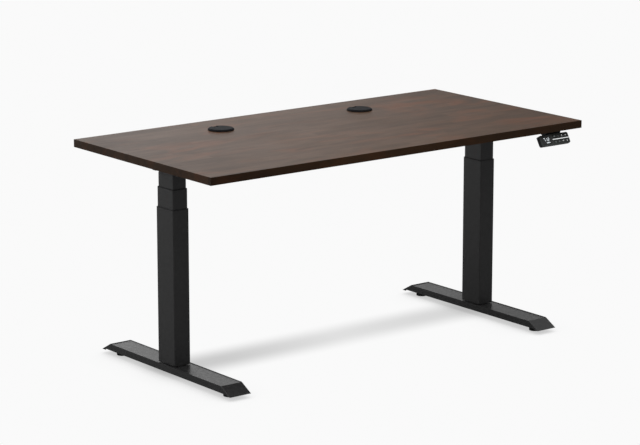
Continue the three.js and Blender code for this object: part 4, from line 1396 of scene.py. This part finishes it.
class DESK_OT_handset(Operator):
    """The handset: tilted panel, lit display, eight keys with their marks, and the shell behind"""

    bl_idname = "desk.build_handset"
    bl_label = "Handset"

    def execute(self, context):
        place = self.place()
        buttons = [("timer", 0, 1), ("1", 1, 1), ("2", 2, 1), ("up", 3, 1),
                   ("menu", 0, -1), ("3", 1, -1), ("4", 2, -1), ("down", 3, -1)]
        centres = {name: np.array((0.0005 + 0.0165 * i, row * 0.0095)) for name, i, row in buttons}
        window = np.array((-0.0345, 0.0))
        outline = rounded_rectangle(0.125, 0.038, 0.006, 8)
        holes = [rounded_rectangle(0.041, 0.026, 0.002, 4) + window]
        holes += [rounded_rectangle(0.0138, 0.0108, 0.0020, 4) + c for c in centres.values()]
        verts, faces = perforated(outline, holes, -0.003, 0, 0.0005, 3)
        panel = make_piece("handset_face", moved(verts, place), faces, "panel")
        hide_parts("handset_panel")
        lens = slab_rings(rounded_rectangle(0.0402, 0.0252, 0.002, 4) + window, -0.0027, 0, 0.0003, 2)
        lens = add_loft("handset_lens", moved(lens, place), "window")
        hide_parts("handset_display")
        self.display(context, place, window)
        for name, centre in centres.items():
            self.key(name, centre, place)
        # The silver line between the key rows: it glows, a painted highlight.
        line = rounded_rectangle(0.072, 0.0026, 0.0009, 3) + np.array((0.0255, 0))
        line = slab_rings(line, 0, 0.0003, 0.00012, 2)
        add_loft("handset_line", moved(line, place), "trim")
        self.shell(place)
        finish_node("handset_board", "circuit", 0.0002)
        return {"FINISHED"}

    @staticmethod
    def place():
        """The handset's own frame: x to the right, y up the panel and z out of its face."""
        low, high = span("handset_panel")
        reach = 0.019 * math.sin(HANDSET_LEAN)
        at = Matrix.Translation(((low[0] + high[0]) / 2, low[1] + reach, HANDSET_Z))
        return at @ Matrix.Rotation(math.pi / 2 - HANDSET_LEAN, 4, "X")

    @staticmethod
    def display(context, place, window):
        """Digits and a height bar, raised a hair above the lens's face."""
        shown = context.scene.desk_sizes.displayed_height
        text = f"{shown // 10}.{shown % 10}"
        bars = digit_bars(text, 0.0105, 0.0013, window[0] - 0.0108, window[1] + 0.0025)
        bars.append(rounded_rectangle(0.011, 0.0018, 0.0007, 3) + window + np.array((0.001, -0.0085)))
        bars.append(rounded_rectangle(0.003, 0.0018, 0.0007, 3) + window + np.array((0.0095, -0.0085)))
        shapes = [moved(np.array([flat_ring(b, 0.00002), flat_ring(b, 0.00012)]), place) for b in bars]
        add_group("handset_digits", shapes, "glow")

    @staticmethod
    def key(name, centre, place):
        """One keycap with a shallow dish, its flange and its lit mark."""
        body = f"button_{name}_key"
        cap = rounded_rectangle(0.013, 0.010, 0.0016, 6) + centre
        top, edge = 0.0002, 0.0006
        rings = [flat_ring(cap, -0.0036)]
        rings += [flat_ring(inset(cap, i), top - edge + d) for i, d in rounding(edge, 4)]
        for smaller, radius, height in ((0.0032, 0.0008, 0.00012), (0.0060, 0.0005, 0.00005)):
            dish = rounded_rectangle(0.013 - smaller, 0.010 - smaller, radius, 6) + centre
            rings.append(flat_ring(dish, height))
        flange = rounded_rectangle(0.0154, 0.0124, 0.001, 6) + centre
        flange = slab_rings(flange, -0.0055, -0.0034, 0.0002, 2)
        shapes = [moved(r, place) for r in (rings, flange)]
        piece = add_group(f"key_{name}", shapes, "key", body)
        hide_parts(f"button_{name}")
        bright = name in ("up", "down", "2", "4")
        marks = [moved(np.array([flat_ring(o + centre, 0.0), flat_ring(o + centre, 0.00022)]), place)
                 for o in key_icon(name)]
        add_group(f"mark_{name}", marks, "bright_print" if bright else "print", body)

    @staticmethod
    def shell(place):
        """The shell and its mounting block: side profiles with rounded corners, carried across."""
        sine, cosine = math.sin(HANDSET_LEAN), math.cos(HANDSET_LEAN)

        def flat(behind, below):
            """A point behind the panel and below the board, turned into the panel's own frame."""
            return behind * sine + (0.0267 - below) * cosine, -behind * cosine + (0.0267 - below) * sine

        back, low, high, deep = -0.0033, -0.0185, 0.0185, -0.018
        tray = np.array([(low, back), (low, deep + 0.005), (low + 0.005, deep), (high, deep), (high, back)])
        mount = np.array([(high - 0.0045, -0.0155), (high - 0.0135, -0.0165), flat(0.065, 0.010),
                          flat(0.065, 0.0003), flat(0.0193, 0.0003)])
        ear = np.array([flat(0.065, 0.0105), flat(0.065, 0.0003), flat(0.038, 0.0003), flat(0.038, 0.0055)])
        half = 0.0605
        for name, profile, left, right in (("tray", tray, -half, half), ("mount", mount, -0.018, 0.0425),
                                           ("ear", ear, -0.054, -0.0175)):
            shape = slab_rings(rounded_polygon(profile, 0.002), left, right, 0.001, 3)
            piece = add_loft(f"handset_{name}", moved(shape, place @ along_x()), "case")
            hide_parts("handset_case")
        screws = [moved(cross_head(0.0035, 0.0022), downwards((x, -0.312, 0.6772)))
                  for x in (0.632, 0.674)]
        add_group("handset_screws", screws, "steel")


def rounded_polygon(corners, radius, steps=5):
    """A polygon whose corners are cut round: each corner becomes a quadratic curve between two points
    one radius along its edges."""
    p = np.array(corners, float)
    if (np.cross(p - np.roll(p, 1, 0), np.roll(p, -1, 0) - p)).sum() < 0:
        p = p[::-1]
    before, after = np.roll(p, 1, 0) - p, np.roll(p, -1, 0) - p
    before *= radius / np.linalg.norm(before, axis=1, keepdims=True)
    after *= radius / np.linalg.norm(after, axis=1, keepdims=True)
    t = np.linspace(0, 1, steps)[None, :, None]
    a, b, c = (p + before)[:, None], p[:, None], (p + after)[:, None]
    return ((1 - t) ** 2 * a + 2 * t * (1 - t) * b + t * t * c).reshape(-1, 2)


# ---------------------------------------------------------------- stage
class DESK_OT_stage(Operator):
    """Pale floor, soft light all round and overhead, a glowing card behind the desk, and the camera"""

    bl_idname = "desk.build_stage"
    bl_label = "Stage"

    def execute(self, context):
        studio = context.scene.desk_studio
        self.floor(studio)
        self.world(context.scene, studio)
        self.lights(studio)
        self.camera(context.scene, studio)
        context.scene.view_settings.view_transform = "Standard"
        return {"FINISHED"}

    @staticmethod
    def floor(studio):
        """A round floor. The camera sees only its own glow, darkened by a painted contact shadow near what
        touches it and by a painted shadow in a soft band between the feet; everything else is lit by it as
        by a plain matt floor."""
        verts, faces = loft(turned_rings([(0.001, 0.0), (FLOOR_RADIUS, 0.0)], 96))
        mesh = bpy.data.meshes.new("floor")
        mesh.from_pydata(verts.tolist(), [], faces[:96])
        mesh.update()
        material, tree, shader, at = start_material(
            "studio floor", roughness=0.9, specular_ior_level=0.0, emission_color=(1, 1, 1, 1))
        seen = add_node(tree, "LightPath").outputs["Is Camera Ray"]
        finish_shader(tree, shader, mix_colours(tree, seen, tuple(studio.floor), (0, 0, 0, 1)))
        # Painted contact shadow: the glow that the camera sees is darkened where ambient occlusion finds
        # something close above the floor.
        near = add_node(tree, "AmbientOcclusion", {"Distance": CONTACT_SHADE_REACH}, samples=6).outputs["AO"]
        painted_contact_shade = ramp(tree, near, 0.0, CONTACT_SHADE_OPEN, 1 - CONTACT_SHADE_DEPTH, 1.0)
        # Painted shadow: a soft dark band across the floor between the feet, deepest towards the left, laid
        # out in the floor's own coordinates.
        x, y, _ = split_axes(tree, at)
        from_middle = maths(tree, "ABSOLUTE", maths(tree, "SUBTRACT", y, SHADOW_BAND_Y))
        across = smooth(tree, from_middle, SHADOW_BAND_CORE, SHADOW_BAND_HALF, 1.0, 0.0)
        left, middle_shadow_depth, right = SHADOW_BAND_DEPTHS
        depth = maths(tree, "ADD", ramp(tree, x, *SHADOW_BAND_LEFT, left, middle_shadow_depth),
                      ramp(tree, x, *SHADOW_BAND_RIGHT, 0.0, right))
        ends = smooth(tree, maths(tree, "ABSOLUTE", x), *SHADOW_BAND_ENDS, 1.0, 0.0)
        band = maths(tree, "MULTIPLY", maths(tree, "MULTIPLY", across, depth), ends)
        glow = maths(tree, "MULTIPLY", maths(tree, "MULTIPLY", seen, FLOOR_GLOW), painted_contact_shade)
        glow = maths(tree, "MULTIPLY", glow, maths(tree, "SUBTRACT", 1.0, band))
        tree.links.new(glow, shader.inputs["Emission Strength"])
        mesh.materials.append(material)
        floor = new_object("floor", mesh)

    @staticmethod
    def world(scene, studio):
        """Light from all round: bright towards the left and back, dimmer to the right and front."""
        world = bpy.data.worlds.new("studio")
        world.use_nodes = True
        scene.world = world
        tree = world.node_tree
        background = first_node(tree, "BACKGROUND")
        background.inputs["Color"].default_value = (1, 1, 1, 1)
        level = WORLD_BASE
        direction = split_axes(tree, add_node(tree, "TexCoord").outputs["Generated"])
        for axis, share in zip(direction, (WORLD_X, WORLD_Y, WORLD_Z)):
            level = maths(tree, "ADD", maths(tree, "MULTIPLY", axis, share), level)
        level = maths(tree, "MAXIMUM", level, WORLD_LEAST)
        seen = add_node(tree, "LightPath").outputs["Is Camera Ray"]
        mix = add_node(tree, "Mix", {"Factor": seen, 2: level, 3: FLOOR_GLOW}, data_type="FLOAT")
        level = mix.outputs[0]
        tree.links.new(maths(tree, "MULTIPLY", level, studio.dome), background.inputs["Strength"])

    @staticmethod
    def lights(studio):
        """A broad soft light overhead, and a tall card behind the desk whose glow fades to the right and
        upwards. The card is seen only in reflections and by the light that it gives."""
        light = bpy.data.lights.new("overhead light", "SUN")
        light.energy = studio.overhead
        light.angle = math.radians(60)
        new_object("overhead light", light)
        x0, x1, y, z0, z1 = CARD
        mesh = bpy.data.meshes.new("reflector card")
        mesh.from_pydata([(x0, y, z0), (x1, y, z0), (x1, y, z1), (x0, y, z1)], [], [(0, 1, 2, 3)])
        material = bpy.data.materials.new("reflector card")
        material.use_nodes = True
        tree = material.node_tree
        tree.nodes.remove(first_node(tree, "BSDF_PRINCIPLED"))
        along, _, up = split_axes(tree, add_node(tree, "TexCoord").outputs["Object"])
        fade_from, fade_to, faded = CARD_FADE
        fade = maths(tree, "MULTIPLY", smooth(tree, along, fade_from, fade_to, 1.0, faded),
                     smooth(tree, along, x0, x0 + CARD_START, 0.0, 1.0))
        fade = maths(tree, "MAXIMUM", fade, smooth(tree, up, *CARD_FOOT_FADE, CARD_FOOT, 0.0))
        level = maths(tree, "MULTIPLY", fade, smooth(tree, up, CARD_UPPER_FADE, z1, 1.0, 0.0))
        glow = add_node(tree, "Emission", {"Strength": maths(tree, "MULTIPLY", level, CARD_LEVEL)})
        output = first_node(tree, "OUTPUT_MATERIAL")
        tree.links.new(glow.outputs[0], output.inputs["Surface"])
        mesh.materials.append(material)
        card = new_object("reflector card", mesh)
        card.visible_camera = False
        card.visible_shadow = False

    @staticmethod
    def camera(scene, studio):
        """Camera on a sphere round the point it looks at."""
        azimuth, elevation = studio.azimuth, studio.elevation
        back = Vector((math.sin(azimuth) * math.cos(elevation), -math.cos(azimuth) * math.cos(elevation),
                       math.sin(elevation)))
        data = bpy.data.cameras.new("camera")
        data.sensor_fit = "HORIZONTAL"
        data.sensor_width = 36
        data.lens = studio.lens
        data.clip_end = 200
        camera = new_object("camera", data)
        camera.location = Vector(studio.aim) + back * studio.distance
        camera.rotation_euler = (-back).to_track_quat("-Z", "Y").to_euler()
        scene.camera = camera


class DESK_OT_finishes(Operator):
    """All finishes, from shared groups of nodes"""

    bl_idname = "desk.make_finishes"
    bl_label = "Finishes"

    def execute(self, context):
        FINISHES.update(make_finishes())
        return {"FINISHED"}


STEPS = (DESK_OT_stage, DESK_OT_finishes, DESK_OT_top, DESK_OT_grommets, DESK_OT_feet, DESK_OT_glides,
         DESK_OT_columns, DESK_OT_lift, DESK_OT_gearboxes, DESK_OT_crossbar, DESK_OT_brackets,
         DESK_OT_control_box, DESK_OT_leads, DESK_OT_handset)


class DESK_PT_panel(Panel):
    """Lists the desk's steps and settings in the sidebar"""

    bl_idname = "DESK_PT_panel"
    bl_label = "Standing desk"
    bl_space_type = "VIEW_3D"
    bl_region_type = "UI"
    bl_category = "Desk"

    def draw(self, context):
        for group in (context.scene.desk_sizes, context.scene.desk_colours, context.scene.desk_studio):
            for key in group.__annotations__:
                self.layout.prop(group, key)
        for step in STEPS:
            self.layout.operator(step.bl_idname, text=step.bl_label)


SETTINGS = {"desk_sizes": DeskSizes, "desk_colours": DeskColours, "desk_studio": DeskStudio}


def register():
    """Registers the settings, the steps and the panel."""
    for cls in (*SETTINGS.values(), *STEPS, DESK_PT_panel):
        bpy.utils.register_class(cls)
    for name, cls in SETTINGS.items():
        setattr(bpy.types.Scene, name, PointerProperty(type=cls))


def unregister():
    """Takes back what register() did."""
    for name in SETTINGS:
        delattr(bpy.types.Scene, name)
    for cls in (DESK_PT_panel, *reversed(STEPS), *reversed(list(SETTINGS.values()))):
        bpy.utils.unregister_class(cls)


def main():
    """Builds everything in order."""
    register()
    for step in STEPS:
        group, name = step.bl_idname.split(".")
        getattr(getattr(bpy.ops, group), name)()


if __name__ == "__main__":
    main()
